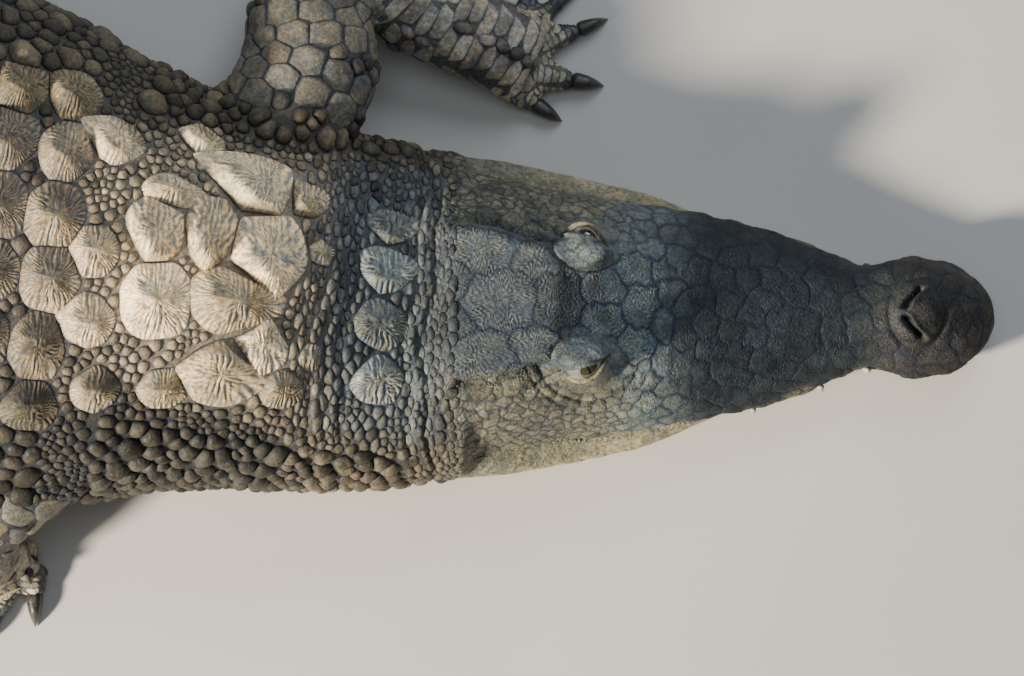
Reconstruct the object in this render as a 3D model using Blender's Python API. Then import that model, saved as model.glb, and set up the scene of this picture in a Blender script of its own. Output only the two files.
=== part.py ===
"""A life-size mugger (marsh crocodile) lying on its belly, with the left forefoot set forward.

Metres, +Z up, +X the way the head points and +Y the animal's left. The origin is on the floor,
under the middle of the belly. The body is a series of cross-sections along a bent centreline:
s is the distance along it from the snout's tip, v the distance to the animal's left.
Pieces that touch keep a gap, so that each is a closed solid of its own.
"""

from math import cos, pi, radians, sin, sqrt

import bmesh
import bpy
import numpy as np
from mathutils import Vector

# Driving dimensions
TOTAL_LENGTH = 3.50
HEAD_LENGTH = 0.52          # snout's tip to where the neck starts
TRUNK_START = 0.80
TRUNK_MIDDLE = 1.20
TAIL_START = 1.65
TAIL_MIDDLE = 2.25
TAIL_END = 2.85
BELLY_REST = 1.22           # the point of the centreline that lies over the origin
GAP = 0.0005                # half of it on each side of a thin cut
ROW_PITCH = 0.05            # one crosswise row of scutes on the back, or one whorl of the tail
SCUTE_HALF_LENGTH = 0.0235
SCUTE_HALF_WIDTH = 0.022    # on the back; the tail's crests are narrower

BODY_SIDES = 20
TAIL_SIDES = 14
LIMB_SIDES = 10
TOE_SIDES, CLAW_SIDES = 7, 6
HEAD_POINTS = 18            # across the top of the head

# The centreline's heading, in degrees away from straight back, to the animal's left
HEADING = [(0, 0), (0.50, 0), (0.62, 5), (0.75, 8.5), (0.95, 10), (1.55, 10), (1.85, 7),
           (2.30, -9), (2.75, -25), (3.15, -20), (3.50, -2)]

# Head: half-width of the upper and lower jaws, height of the crown and of the mouth line
UPPER_HALF = [(0, 0.006), (0.006, 0.024), (0.02, 0.041), (0.05, 0.0555), (0.08, 0.0585),
              (0.118, 0.0490), (0.15, 0.062), (0.19, 0.078), (0.23, 0.089), (0.275, 0.098),
              (0.32, 0.105), (0.41, 0.118), (0.455, 0.125), (0.52, 0.135)]
LOWER_HALF = [(0, 0.004), (0.01, 0.022), (0.02, 0.035), (0.05, 0.049), (0.08, 0.0515),
              (0.118, 0.0475), (0.15, 0.055), (0.19, 0.070), (0.23, 0.081), (0.275, 0.100),
              (0.32, 0.119), (0.365, 0.130), (0.41, 0.139), (0.455, 0.147), (0.52, 0.152)]
CROWN = [(0, 0.050), (0.02, 0.066), (0.05, 0.077), (0.075, 0.081), (0.11, 0.077), (0.15, 0.080),
         (0.20, 0.088), (0.25, 0.098), (0.30, 0.113), (0.34, 0.130), (0.375, 0.148),
         (0.41, 0.157), (0.45, 0.159), (0.52, 0.152)]
MOUTH = [(0, 0.036), (0.05, 0.031), (0.115, 0.042), (0.19, 0.032), (0.27, 0.045),
         (0.35, 0.042), (0.43, 0.060), (0.52, 0.086)]

# Neck, trunk and tail: half-width, height of the back without its scutes, height where widest
HALF_WIDTH = [(0.50, 0.150), (0.56, 0.157), (0.61, 0.163), (0.66, 0.167), (0.725, 0.176),
              (0.80, 0.200), (0.88, 0.228), (1.00, 0.258), (1.20, 0.275), (1.40, 0.255),
              (1.55, 0.215), (1.65, 0.178), (1.85, 0.140), (2.10, 0.112), (2.45, 0.080),
              (2.85, 0.050), (3.20, 0.027), (3.44, 0.012), (3.50, 0.004)]
BACK_HEIGHT = [(0.50, 0.150), (0.54, 0.154), (0.58, 0.168), (0.62, 0.190), (0.68, 0.216),
               (0.75, 0.236), (0.85, 0.256), (1.00, 0.272), (1.20, 0.280), (1.40, 0.270),
               (1.60, 0.245), (1.75, 0.220), (2.00, 0.180), (2.40, 0.135), (2.80, 0.098),
               (3.20, 0.062), (3.44, 0.034), (3.50, 0.020)]
WIDEST_AT = [(0.50, 0.055), (0.66, 0.070), (0.85, 0.090), (1.20, 0.095), (1.60, 0.090),
             (2.00, 0.075), (2.80, 0.040), (3.50, 0.010)]
SINK = 0.006                # how far the round belly would reach below the floor that flattens it
TOP_ROUND = 0.80            # exponents of the cross-section: 1 is an ellipse, less is boxier
BOTTOM_ROUND = 0.62

# Eyes and skull table
EYE_AT = (0.378, 0.0530, 0.1445)
EYE_RADIUS = 0.0185
TABLE_START, TABLE_END = 0.385, 0.512
TABLE_HEIGHT = 0.166
NOSTRIL_AT = 0.074

# Teeth that show with the mouth shut: distance behind the snout's tip, and length
UPPER_TEETH = [(0.028, 0.010), (0.048, 0.012), (0.068, 0.014), (0.088, 0.011), (0.142, 0.010),
               (0.160, 0.013), (0.180, 0.016), (0.200, 0.013), (0.222, 0.011)]
LOWER_TOOTH = (0.1175, 0.024)      # the fourth, which stands in the notch of the upper jaw

# Scutes of the back: distance of each lengthwise row from the midline and its keel's height
BACK_ROWS = [(0.028, 0.014), (0.090, 0.018), (0.142, 0.018)]
# Neck shields: (s, v, half-length, half-width, keel height)
NECK_SHIELDS = [(0.562, 0.033, 0.024, 0.020, 0.006), (0.562, 0.078, 0.023, 0.019, 0.009),
                (0.680, 0.033, 0.038, 0.028, 0.018), (0.752, 0.033, 0.030, 0.028, 0.020),
                (0.684, 0.098, 0.036, 0.026, 0.026), (0.628, 0.092, 0.017, 0.015, 0.016),
                (0.762, 0.098, 0.024, 0.020, 0.020)]
SINGLE_CREST_FROM = 2.50    # the tail's two crests join here


def curve(points):
    """A smooth function through the points that overshoots none of them (monotone cubic)."""
    x, y = np.array(points, float).T
    step = np.diff(x)
    rise = np.diff(y) / step
    slope = np.concatenate([[rise[0]], np.zeros(len(x) - 2), [rise[-1]]])
    for i in range(1, len(x) - 1):
        if rise[i - 1] * rise[i] > 0:
            a, b = 2 * step[i] + step[i - 1], step[i] + 2 * step[i - 1]
            slope[i] = (a + b) / (a / rise[i - 1] + b / rise[i])

    def at(value):
        q = np.clip(value, x[0], x[-1])
        i = np.clip(np.searchsorted(x, q) - 1, 0, len(step) - 1)
        t = (q - x[i]) / step[i]
        return ((2 * t**3 - 3 * t**2 + 1) * y[i] + (t**3 - 2 * t**2 + t) * step[i] * slope[i]
                + (3 * t**2 - 2 * t**3) * y[i + 1] + (t**3 - t**2) * step[i] * slope[i + 1])

    return at


heading_at, upper_half, lower_half = curve(HEADING), curve(UPPER_HALF), curve(LOWER_HALF)
crown_at, mouth_at = curve(CROWN), curve(MOUTH)
half_width, back_height, widest_at = curve(HALF_WIDTH), curve(BACK_HEIGHT), curve(WIDEST_AT)


def centreline():
    """Its points every 5 mm, with the origin under the belly's middle."""
    s = np.arange(0, TOTAL_LENGTH + 0.005, 0.005)
    angle = np.radians(heading_at(s))
    x = -np.concatenate([[0], np.cumsum(0.005 * np.cos(angle[:-1]))])
    y = np.concatenate([[0], np.cumsum(0.005 * np.sin(angle[:-1]))])
    rest = np.interp(BELLY_REST, s, x), np.interp(BELLY_REST, s, y)
    return s, x - rest[0], y - rest[1]


LINE_S, LINE_X, LINE_Y = centreline()


def place(s, v, z):
    """The point at s along the centreline, v to the animal's left and z above the floor."""
    angle = radians(float(heading_at(s)))
    x = np.interp(s, LINE_S, LINE_X) + v * sin(angle)
    y = np.interp(s, LINE_S, LINE_Y) + v * cos(angle)
    return Vector((x, y, z))


def smooth(low, high, value):
    t = np.clip((value - low) / (high - low), 0, 1)
    return t * t * (3 - 2 * t)


def body_section(s, angle, grow=0.0):
    """(v, z) on the neck, trunk or tail: angle 0 is the left side, pi/2 the top."""
    c, q = cos(angle), sin(angle)
    width, widest = half_width(s) + grow, widest_at(s)
    v = width * (1 if c >= 0 else -1) * abs(c) ** (0.92 if q >= 0 else 0.80)
    if q >= 0:
        return v, widest + (back_height(s) + grow - widest) * q**TOP_ROUND
    return v, max(0.0, widest - (widest + SINK) * (-q) ** BOTTOM_ROUND)


def head_height(u, v):
    """Height of the head's upper surface at u behind the snout's tip and v from the midline."""
    edge, v = upper_half(u), abs(v)
    f = min(1.0, v / edge)
    lip = mouth_at(u)
    z = lip + (crown_at(u) - lip) * (1 - f**2.3) ** 0.55
    # The jaw muscle behind the eye, the eye's own swelling and the flat table of the skull
    z += 0.010 * smooth(0.40, 0.46, u) * sin(pi * min(1.0, f)) ** 2 * (f > 0.5)
    far = sqrt(((u - EYE_AT[0]) / 0.037) ** 2 + ((v - 0.051) / 0.028) ** 2)
    z = max(z, lip + (0.1655 - lip) * (1 - smooth(0.55, 1.25, far)))
    inside = smooth(TABLE_START, 0.41, u) * (1 - smooth(TABLE_END - 0.017, TABLE_END, u))
    table_half = 0.046 + 0.018 * smooth(0.40, 0.48, u)
    table = TABLE_HEIGHT - 0.004 * (1 - (v / table_half) ** 2)
    level = inside * (1 - smooth(table_half, table_half + 0.012, v))
    z = max(z, z + (table - z) * level)
    nose = sqrt(((u - NOSTRIL_AT) / 0.030) ** 2 + (v / 0.034) ** 2)
    return z + 0.007 * (1 - smooth(0.4, 1.1, nose))


def jaw_section(u, angle):
    c, q = cos(angle), sin(angle)
    half, top = lower_half(u), mouth_at(u) - GAP
    bulge = smooth(0.20, 0.36, u)
    widest = top * (0.80 - 0.22 * bulge)
    v = half * (1 if c >= 0 else -1) * abs(c) ** 0.9
    if q >= 0:
        return v, widest + (top - widest) * q ** (0.35 + 0.25 * bulge)
    return v, max(0.0, widest - (widest + 0.002) * (-q) ** 0.75)


def material(name, colour, roughness=0.6):
    found = bpy.data.materials.get(name)
    if found is None:
        found = bpy.data.materials.new(name)
        found.use_nodes = True
        shader = found.node_tree.nodes["Principled BSDF"]
        shader.inputs["Base Color"].default_value = (*colour, 1)
        shader.inputs["Roughness"].default_value = roughness
        shader.inputs["Metallic"].default_value = 0
    return found


def hide():
    return material("hide", (0.24, 0.22, 0.17), 0.65)


def horn():
    return material("claw_horn", (0.06, 0.06, 0.05), 0.4)


def add(name, points, faces, finish):
    """A mesh object from points and faces, closed and facing out."""
    mesh = bpy.data.meshes.new(name)
    mesh.from_pydata([tuple(p) for p in points], [], faces)
    shape = bmesh.new()
    shape.from_mesh(mesh)
    bmesh.ops.remove_doubles(shape, verts=shape.verts, dist=1e-6)
    bmesh.ops.recalc_face_normals(shape, faces=shape.faces)
    shape.to_mesh(mesh)
    shape.free()
    mesh.materials.append(finish)
    obj = bpy.data.objects.new(name, mesh)
    bpy.context.scene.collection.objects.link(obj)
    return obj


def loft(name, rings, finish):
    """A closed body through rings with the same number of points, flat at both ends."""
    count = len(rings[0])
    points = [p for ring in rings for p in ring]
    faces = [tuple(range(count)), tuple(range(len(points) - 1, len(points) - count - 1, -1))]
    for r in range(len(rings) - 1):
        for i in range(count):
            j = (i + 1) % count
            faces.append((r * count + i, r * count + j, (r + 1) * count + j, (r + 1) * count + i))
    return add(name, points, faces, finish)


def boolean(obj, other, operation):
    """Applies one Boolean with the other object, which is then removed."""
    change = obj.modifiers.new(operation.lower(), "BOOLEAN")
    change.operation = operation
    change.object = other
    change.solver = "EXACT"
    change.use_self = operation == "UNION"
    graph = bpy.context.evaluated_depsgraph_get()
    shaped = bpy.data.meshes.new_from_object(obj.evaluated_get(graph))
    obj.modifiers.clear()
    obj.data = shaped
    bpy.data.objects.remove(other)
    return obj


def joined(objects):
    """Several closed shapes in one mesh, for one Boolean."""
    shape = bmesh.new()
    for obj in objects:
        shape.from_mesh(obj.data)
    first = objects[0]
    mesh = bpy.data.meshes.new(first.name)
    shape.to_mesh(mesh)
    shape.free()
    first.data = mesh
    for obj in objects[1:]:
        bpy.data.objects.remove(obj)
    return first


def flatten_on_floor(obj, level=0.0):
    for vertex in obj.data.vertices:
        vertex.co.z = max(vertex.co.z, level)


def body_ring(s, sides, grow=0.0):
    points = []
    for i in range(sides):
        v, z = body_section(s, 2 * pi * (i + 0.5) / sides, grow)
        points.append(place(s, v, z))
    return points


def body_length(name, start, end, count, sides, last=False):
    """One length of the neck, trunk or tail between two cuts."""
    stations = np.linspace(start + GAP, end if last else end - GAP, count + 1)
    return loft(name, [body_ring(s, sides) for s in stations], hide())


def surface(s, v):
    """Point and outward normal of the back at s, v."""

    def point(at_s, at_v):
        ratio = min(0.999, abs(at_v) / half_width(at_s))
        q = sqrt(1 - ratio ** (2 / 0.92))
        widest = widest_at(at_s)
        return place(at_s, at_v, widest + (back_height(at_s) - widest) * q**TOP_ROUND)

    step = 0.004
    along = point(s - step, v) - point(s + step, v)
    across = point(s, v + step) - point(s, v - step)
    return point(s, v), along.normalized(), along.cross(across).normalized()


def scute(s, v, half_length, half_wide, keel, lean=0.5, sink=0.008):
    """A keeled plate: a ridge that rises to a peak near its rear end, over a sunken base."""
    centre, forward, normal = surface(s, v)
    side = normal.cross(forward)
    up = (normal * (1 - lean) + Vector((0, 0, 1)) * lean).normalized()
    base = [centre + forward * a * half_length + side * b * half_wide - normal * sink
            for a, b in ((1, 0.8), (1, -0.8), (-1, -1), (-1, 1))]
    front = centre + forward * half_length * 0.85 + up * 0.001
    peak = centre - forward * half_length * 0.45 + up * keel
    faces = [(3, 2, 1, 0), (0, 1, 4), (1, 2, 5, 4), (2, 3, 5), (3, 0, 4, 5)]
    return add("scute", [*base, front, peak], faces, hide())


def row_keel(s, row):
    """Keel height of a back row, which dies out towards the tail in the outer rows."""
    fade = 1 - 0.45 * smooth(1.35, 1.65, s) * (row > 0)
    return BACK_ROWS[row][1] * fade


def back_scutes(start, end):
    found = []
    for i in range(round((end - start) / ROW_PITCH)):
        s = start + ROW_PITCH * (i + 0.5)
        for row, (v, _) in enumerate(BACK_ROWS):
            if v > half_width(s) * 0.72:
                continue
            for side in (1, -1):
                found.append(scute(s, side * v, SCUTE_HALF_LENGTH, SCUTE_HALF_WIDTH,
                                   row_keel(s, row)))
    return found


def crest_height(s):
    """The tail crest stands tallest where its two rows join."""
    return 0.022 + 0.030 * smooth(1.65, 2.45, s) - 0.030 * smooth(2.6, 3.45, s)


def tail_scutes(start, end):
    found = []
    for i in range(round((end - start) / ROW_PITCH)):
        s = start + ROW_PITCH * (i + 0.5)
        if s > TOTAL_LENGTH - 0.05:
            break
        rows = [0.0] if s > SINGLE_CREST_FROM else [1, -1]
        reach = half_width(s)
        for side in rows:
            v = side * min(0.30 * reach, 0.050)
            width = min(0.010, 0.35 * reach)
            found.append(scute(s, v, SCUTE_HALF_LENGTH, width, crest_height(s), 0.2, 0.006))
    return found


def neck_shields():
    return [scute(s, side * v, length, width, keel)
            for s, v, length, width, keel in NECK_SHIELDS for side in (1, -1)]


def add_body():
    neck = body_length("neck", HEAD_LENGTH, TRUNK_START, 8, BODY_SIDES)
    boolean(neck, joined(neck_shields()), "UNION")
    for name, start, end, count in (("trunk_front", TRUNK_START, TRUNK_MIDDLE, 6),
                                    ("trunk_rear", TRUNK_MIDDLE, TAIL_START, 7)):
        trunk = body_length(name, start, end, count, BODY_SIDES)
        boolean(trunk, joined(back_scutes(start, end)), "UNION")
    for name, start, end, count in (("tail_base", TAIL_START, TAIL_MIDDLE, 9),
                                    ("tail_middle", TAIL_MIDDLE, TAIL_END, 9),
                                    ("tail_tip", TAIL_END, TOTAL_LENGTH, 10)):
        tail = body_length(name, start, end, count, TAIL_SIDES, end == TOTAL_LENGTH)
        boolean(tail, joined(tail_scutes(start, end)), "UNION")


def head_stations():
    """Where the head's cross-sections lie, closer at the snout's tip and round the eyes."""
    snout = [0.0, 0.006, 0.016, 0.03, 0.05, 0.075, 0.10, 0.12, 0.145, 0.185, 0.225, 0.27]
    return snout + list(np.arange(0.31, 0.50, 0.019)) + [0.505, HEAD_LENGTH - GAP]


def tooth(u, side, length, down, outward):
    """A blunt cone whose root is sunk in the jaw."""
    root_v = (upper_half(u) if down else lower_half(u)) - 0.001
    root = place(u, side * root_v, mouth_at(u) + (0.004 if down else -0.012))
    way = Vector((0, side * outward, -1 if down else 1)).normalized()
    along = Vector((1, 0, 0))
    across = way.cross(along).normalized()
    radius = min(0.0036, 0.0014 + 0.15 * length)
    sides = 4
    points = [root + way * length * share + (along * cos(2 * pi * i / sides)
              + across * sin(2 * pi * i / sides)) * radius * size
              for share, size in ((0, 1), (0.6, 0.8)) for i in range(sides)]
    points.append(root + way * length)
    faces = [tuple(reversed(range(sides)))]
    for i in range(sides):
        j = (i + 1) % sides
        faces += [(i, j, sides + j, sides + i), (sides + i, sides + j, 2 * sides)]
    return add("tooth", points, faces, hide())


def add_head():
    rings = []
    for u in head_stations():
        half, top = upper_half(u), []
        for i in range(HEAD_POINTS + 1):
            v = half * cos(pi * i / HEAD_POINTS)
            top.append(place(u, v, max(head_height(u, v), mouth_at(u) + 0.004)))
        palate = [place(u, half * f, mouth_at(u) + GAP) for f in (-0.97, -0.5, 0, 0.5, 0.97)]
        rings.append(top + palate)
    head = loft("head", rings, hide())
    teeth = [tooth(u, side, length, True, 0.12) for u, length in UPPER_TEETH for side in (1, -1)]
    boolean(head, joined(teeth), "UNION")
    for side, name in ((1, "left"), (-1, "right")):
        socket = eyeball("socket", side, EYE_RADIUS + 0.0006)
        boolean(head, socket, "DIFFERENCE")
        eyeball("eye_" + name, side, EYE_RADIUS)


def eyeball(name, side, radius):
    shape = bmesh.new()
    bmesh.ops.create_uvsphere(shape, u_segments=12, v_segments=8, radius=radius)
    bmesh.ops.translate(shape, verts=shape.verts,
                        vec=place(EYE_AT[0], side * EYE_AT[1], EYE_AT[2]))
    mesh = bpy.data.meshes.new(name)
    shape.to_mesh(mesh)
    shape.free()
    mesh.materials.append(material("eye", (0.30, 0.24, 0.08), 0.1))
    mesh.shade_smooth()
    obj = bpy.data.objects.new(name, mesh)
    bpy.context.scene.collection.objects.link(obj)
    return obj


def add_lower_jaw():
    sides = 14
    rings = [[place(u, *jaw_section(u, 2 * pi * (i + 0.5) / sides)) for i in range(sides)]
             for u in head_stations()[1:]]
    jaw = loft("lower_jaw", rings, hide())
    u, length = LOWER_TOOTH
    boolean(jaw, joined([tooth(u, side, length, False, 0.60) for side in (1, -1)]), "UNION")


def tube_rings(path, sides, way=None):
    """Rings round a path of (point, half-width across, half-height), square to it or to way."""
    points = [Vector(p) for p, _, _ in path]
    rings = []
    for k, (_, wide, tall) in enumerate(path):
        before, after = points[max(0, k - 1)], points[min(len(points) - 1, k + 1)]
        along = way or (after - before).normalized()
        across = Vector((0, 0, 1)).cross(along).normalized()
        up = along.cross(across)
        rings.append([points[k] + across * wide * cos(2 * pi * i / sides)
                      + up * tall * sin(2 * pi * i / sides) for i in range(sides)])
    return rings


def slice_path(path, first, last, sides):
    """The rings of part of a path, as they stand in the whole, with thin cuts at its inner ends."""
    rings = tube_rings(path, sides)
    part = [[p.copy() for p in ring] for ring in rings[first:last + 1]]
    points = [Vector(p) for p, _, _ in path]
    for ring, index, sign, at in ((part[0], first, 1, 0), (part[-1], last, -1, len(path) - 1)):
        if index == at:
            continue
        along = (points[index + 1] - points[index - 1]).normalized()
        for p in ring:
            p += along * sign * GAP
    return part


# Limbs: each joint as (s, v, z), then half-width and half-height there. The forelimbs' points
# are shoulder, mid upper arm, before the elbow, elbow, mid forearm, wrist, knuckles.
LEFT_ARM = [((0.700, 0.095, 0.122), 0.062, 0.058), ((0.652, 0.205, 0.112), 0.064, 0.054),
            ((0.654, 0.265, 0.098), 0.057, 0.048), ((0.614, 0.346, 0.076), 0.045, 0.044),
            ((0.535, 0.290, 0.055), 0.048, 0.040), ((0.456, 0.253, 0.036), 0.043, 0.029),
            ((0.428, 0.239, 0.022), 0.043, 0.020)]
RIGHT_ARM = [((0.790, -0.120, 0.125), 0.050, 0.052), ((0.830, -0.168, 0.120), 0.046, 0.048),
             ((0.864, -0.210, 0.112), 0.042, 0.044), ((0.886, -0.242, 0.096), 0.039, 0.042),
             ((0.885, -0.262, 0.068), 0.036, 0.037), ((0.874, -0.264, 0.040), 0.034, 0.028),
             ((0.866, -0.270, 0.022), 0.040, 0.019)]
# Hind limbs: hip, mid thigh, before the knee, knee, mid shin, ankle, ball of the foot
LEFT_LEG = [((1.600, 0.085, 0.120), 0.080, 0.074), ((1.548, 0.205, 0.108), 0.068, 0.062),
            ((1.500, 0.300, 0.090), 0.054, 0.052), ((1.500, 0.350, 0.076), 0.049, 0.048),
            ((1.560, 0.418, 0.056), 0.043, 0.042), ((1.618, 0.468, 0.038), 0.036, 0.031),
            ((1.606, 0.512, 0.024), 0.045, 0.022)]
# Digits: base and tip of each as (along, across) the foot, from the knuckles, and half-width.
# Along is the way the foot points and across is towards the animal's midline.
FORE_DIGITS = [((-0.010, 0.027), (0.030, 0.053), 0.0130), ((0.0, 0.009), (0.070, 0.021), 0.0135),
               ((0.002, -0.014), (0.076, -0.042), 0.0118), ((-0.004, -0.031), (0.056, -0.080), 0.0095),
               ((-0.014, -0.038), (0.020, -0.094), 0.0085)]
HIND_DIGITS = [((0.0, 0.030), (0.095, 0.074), 0.0140), ((0.010, 0.012), (0.128, 0.030), 0.0145),
               ((0.010, -0.008), (0.132, -0.020), 0.0140), ((0.0, -0.028), (0.108, -0.074), 0.0115)]
CLAW_LENGTH = {"fore": 0.027, "hind": 0.034}
# How far a limb stands clear of the length above it and of the body, and the length of body
# that the limbs are cut clear of
LIMB_CLEARANCE, BODY_CLEARANCE = 0.001, 0.0012
ROOTS_START, ROOTS_END = 0.53, 1.95


def foot_frame(knuckles, turn, side):
    """Directions along the foot and across it to the midline, turned from straight ahead."""
    angle = radians(turn)
    along = Vector((cos(angle), sin(angle), 0))
    return knuckles, along, Vector((sin(angle), -cos(angle), 0)) * side


def digit(frame, base, tip, radius, claw):
    """A toe's solid rings and, where it has a claw, the claw's rings beyond a thin gap."""
    knuckles, along, across = frame
    start = knuckles + along * base[0] + across * base[1]
    end = knuckles + along * tip[0] + across * tip[1]
    start.z = end.z = 0
    way = (end - start).normalized()
    flesh_end = end - way * claw
    low = radius * 0.86
    path = [(start - way * 0.012 + Vector((0, 0, low)), radius, radius),
            (start.lerp(flesh_end, 0.35) + Vector((0, 0, low * 1.10)), radius, radius * 1.02),
            (start.lerp(flesh_end, 0.75) + Vector((0, 0, low * 0.98)), radius * 0.88, radius * 0.9),
            (flesh_end + Vector((0, 0, low * 0.82)), radius * 0.70, radius * 0.74)]
    if not claw:
        path.append((end + way * 0.006 + Vector((0, 0, low * 0.5)), radius * 0.3, radius * 0.3))
        return tube_rings(path, TOE_SIDES, way), None
    # The horn's stations: distance along the claw, height and half-width, as shares
    stations = ((2 * GAP / claw, 0.82, 0.58), (0.45, 0.80, 0.44), (0.80, 0.52, 0.25), (1, 0.22, 0.06))
    horn_path = [(flesh_end + way * claw * share + Vector((0, 0, low * height)), radius * half,
                  radius * half * 1.08) for share, height, half in stations]
    return tube_rings(path, TOE_SIDES, way), tube_rings(horn_path, CLAW_SIDES, way)


def add_foot(name, path, turn, side, digits, kind, web):
    """The palm from the wrist's cut to the knuckles, with its toes joined on and claws apart."""
    last = len(path) - 1
    knuckles = Vector(path[last][0])
    frame = foot_frame(knuckles, turn, side)
    foot = loft(name, slice_path(path, last - 1, last, LIMB_SIDES), hide())
    toes, tips = [], []
    for k, (base, tip, radius) in enumerate(digits):
        clawed = CLAW_LENGTH[kind] if k < 3 else 0.0
        rings, claw = digit(frame, base, tip, radius, clawed)
        toes.append(loft("toe", rings, hide()))
        shares = 0.45 if k < len(digits) - 1 else 0.35
        tips.append(knuckles + frame[1] * (base[0] + (tip[0] - base[0]) * shares)
                    + frame[2] * (base[1] + (tip[1] - base[1]) * shares))
        if claw:
            horn_piece = loft(f"{name}_claw_{k + 1}", claw, horn())
            flatten_on_floor(horn_piece, 0.0002)
    if web:
        toes.append(webbing(knuckles, frame[1], tips))
    for toe in toes:
        boolean(foot, toe, "UNION")
    flatten_on_floor(foot)
    return foot


def webbing(knuckles, along, tips):
    """The skin between the toes, a thin plate from the ball of the foot."""
    outline = [knuckles - along * 0.010, *tips]
    lower = [Vector((p.x, p.y, 0.0035)) for p in outline]
    upper = [Vector((p.x, p.y, 0.0105)) for p in outline]
    count = len(outline)
    faces = [tuple(range(count)), tuple(range(2 * count - 1, count - 1, -1))]
    faces += [(i, (i + 1) % count, count + (i + 1) % count, count + i) for i in range(count)]
    return add("web", lower + upper, faces, hide())


def mirrored(path):
    return [((s, -v, z), wide, tall) for (s, v, z), wide, tall in path]


def add_limb(names, path, turn, side, digits, kind):
    """Upper and lower lengths and the foot, cut clear of the body that they grow from."""
    world = [(place(*at), wide, tall) for at, wide, tall in path]
    grown = [(at, wide + LIMB_CLEARANCE, tall + LIMB_CLEARANCE) for at, wide, tall in world]
    upper = loft(names[0], slice_path(world, 0, 3, LIMB_SIDES), hide())
    lower = loft(names[1], slice_path(world, 3, 5, LIMB_SIDES), hide())
    foot = add_foot(names[2], world, turn, side, digits, kind, kind == "hind")
    boolean(lower, loft("cutter", slice_path(grown, 0, 3, LIMB_SIDES), hide()), "DIFFERENCE")
    boolean(foot, loft("cutter", slice_path(grown, 3, 5, LIMB_SIDES), hide()), "DIFFERENCE")
    for piece in (upper, lower, foot):
        flatten_on_floor(piece)
        stations = np.linspace(ROOTS_START, ROOTS_END, 29)
        rings = [body_ring(s, BODY_SIDES, BODY_CLEARANCE) for s in stations]
        cutter = loft("cutter", rings, hide())
        for vertex in cutter.data.vertices:
            vertex.co.z -= 0.002 * (vertex.co.z < 0.001)
        boolean(piece, cutter, "DIFFERENCE")


def add_limbs():
    fore = ("upper_arm", "forearm", "hand")
    hind = ("thigh", "shin", "foot")
    add_limb(["left_" + n for n in fore], LEFT_ARM, 2, 1, FORE_DIGITS, "fore")
    add_limb(["right_" + n for n in fore], RIGHT_ARM, -122, -1, FORE_DIGITS, "fore")
    add_limb(["left_" + n for n in hind], LEFT_LEG, 52, 1, HIND_DIGITS, "hind")
    add_limb(["right_" + n for n in hind], mirrored(LEFT_LEG), -72, -1, HIND_DIGITS, "hind")


def main():
    for obj in list(bpy.data.objects):
        bpy.data.objects.remove(obj)
    add_body()
    add_head()
    add_lower_jaw()
    add_limbs()


main()
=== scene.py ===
"""Looks of the mugger crocodile: one scaly skin over the solids, keeled shields, eyes, teeth, claws.

Metres, +Z up, +X the way the head points, +Y the animal's left, origin on the floor under the belly.
s is the distance back from the snout's tip along the bent centreline, v the distance to the left.
"""

from math import cos, pi, radians, sin

import bmesh
import bpy
import numpy as np
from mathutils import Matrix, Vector
from mathutils.bvhtree import BVHTree


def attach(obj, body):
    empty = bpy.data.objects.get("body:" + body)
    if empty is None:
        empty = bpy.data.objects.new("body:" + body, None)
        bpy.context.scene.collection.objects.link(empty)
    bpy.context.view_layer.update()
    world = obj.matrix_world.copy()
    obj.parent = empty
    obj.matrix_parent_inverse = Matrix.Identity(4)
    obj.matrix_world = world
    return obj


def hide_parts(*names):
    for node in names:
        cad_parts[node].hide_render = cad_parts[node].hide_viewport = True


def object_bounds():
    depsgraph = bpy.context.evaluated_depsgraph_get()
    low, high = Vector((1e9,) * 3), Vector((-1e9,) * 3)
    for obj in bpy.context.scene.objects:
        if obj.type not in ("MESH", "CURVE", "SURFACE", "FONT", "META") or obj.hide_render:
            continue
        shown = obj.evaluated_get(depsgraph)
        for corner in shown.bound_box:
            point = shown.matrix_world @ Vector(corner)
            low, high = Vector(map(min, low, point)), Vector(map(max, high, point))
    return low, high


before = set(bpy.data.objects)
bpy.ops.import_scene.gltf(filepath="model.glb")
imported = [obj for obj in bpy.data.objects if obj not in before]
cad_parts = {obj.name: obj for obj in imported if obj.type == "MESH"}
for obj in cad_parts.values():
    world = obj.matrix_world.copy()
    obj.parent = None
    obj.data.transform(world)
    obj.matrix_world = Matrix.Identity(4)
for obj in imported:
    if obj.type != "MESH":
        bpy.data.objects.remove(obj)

solids_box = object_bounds()
rng = np.random.default_rng(11)

# ---------------------------------------------------------------- driving values of the body
TOTAL_LENGTH = 3.50
BELLY_REST = 1.22           # the point of the centreline over the origin
LINE_STEP = 0.005
# Curves along the body: s, and the centreline's turn to the left in degrees or a measure
HEADING = [(0, 0), (0.50, 0), (0.62, 5), (0.75, 8.5), (0.95, 10), (1.55, 10), (1.85, 7),
           (2.30, -9), (2.75, -25), (3.15, -20), (3.50, -2)]
UPPER_HALF = [(0, 0.006), (0.006, 0.024), (0.02, 0.041), (0.05, 0.0555), (0.08, 0.0585),
              (0.118, 0.0490), (0.15, 0.062), (0.19, 0.078), (0.23, 0.089), (0.275, 0.098),
              (0.32, 0.105), (0.41, 0.118), (0.455, 0.125), (0.52, 0.135)]
LOWER_HALF = [(0, 0.004), (0.01, 0.022), (0.02, 0.035), (0.05, 0.049), (0.08, 0.0515),
              (0.118, 0.0475), (0.15, 0.055), (0.19, 0.070), (0.23, 0.081), (0.275, 0.100),
              (0.32, 0.119), (0.365, 0.130), (0.41, 0.139), (0.455, 0.147), (0.52, 0.152)]
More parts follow.
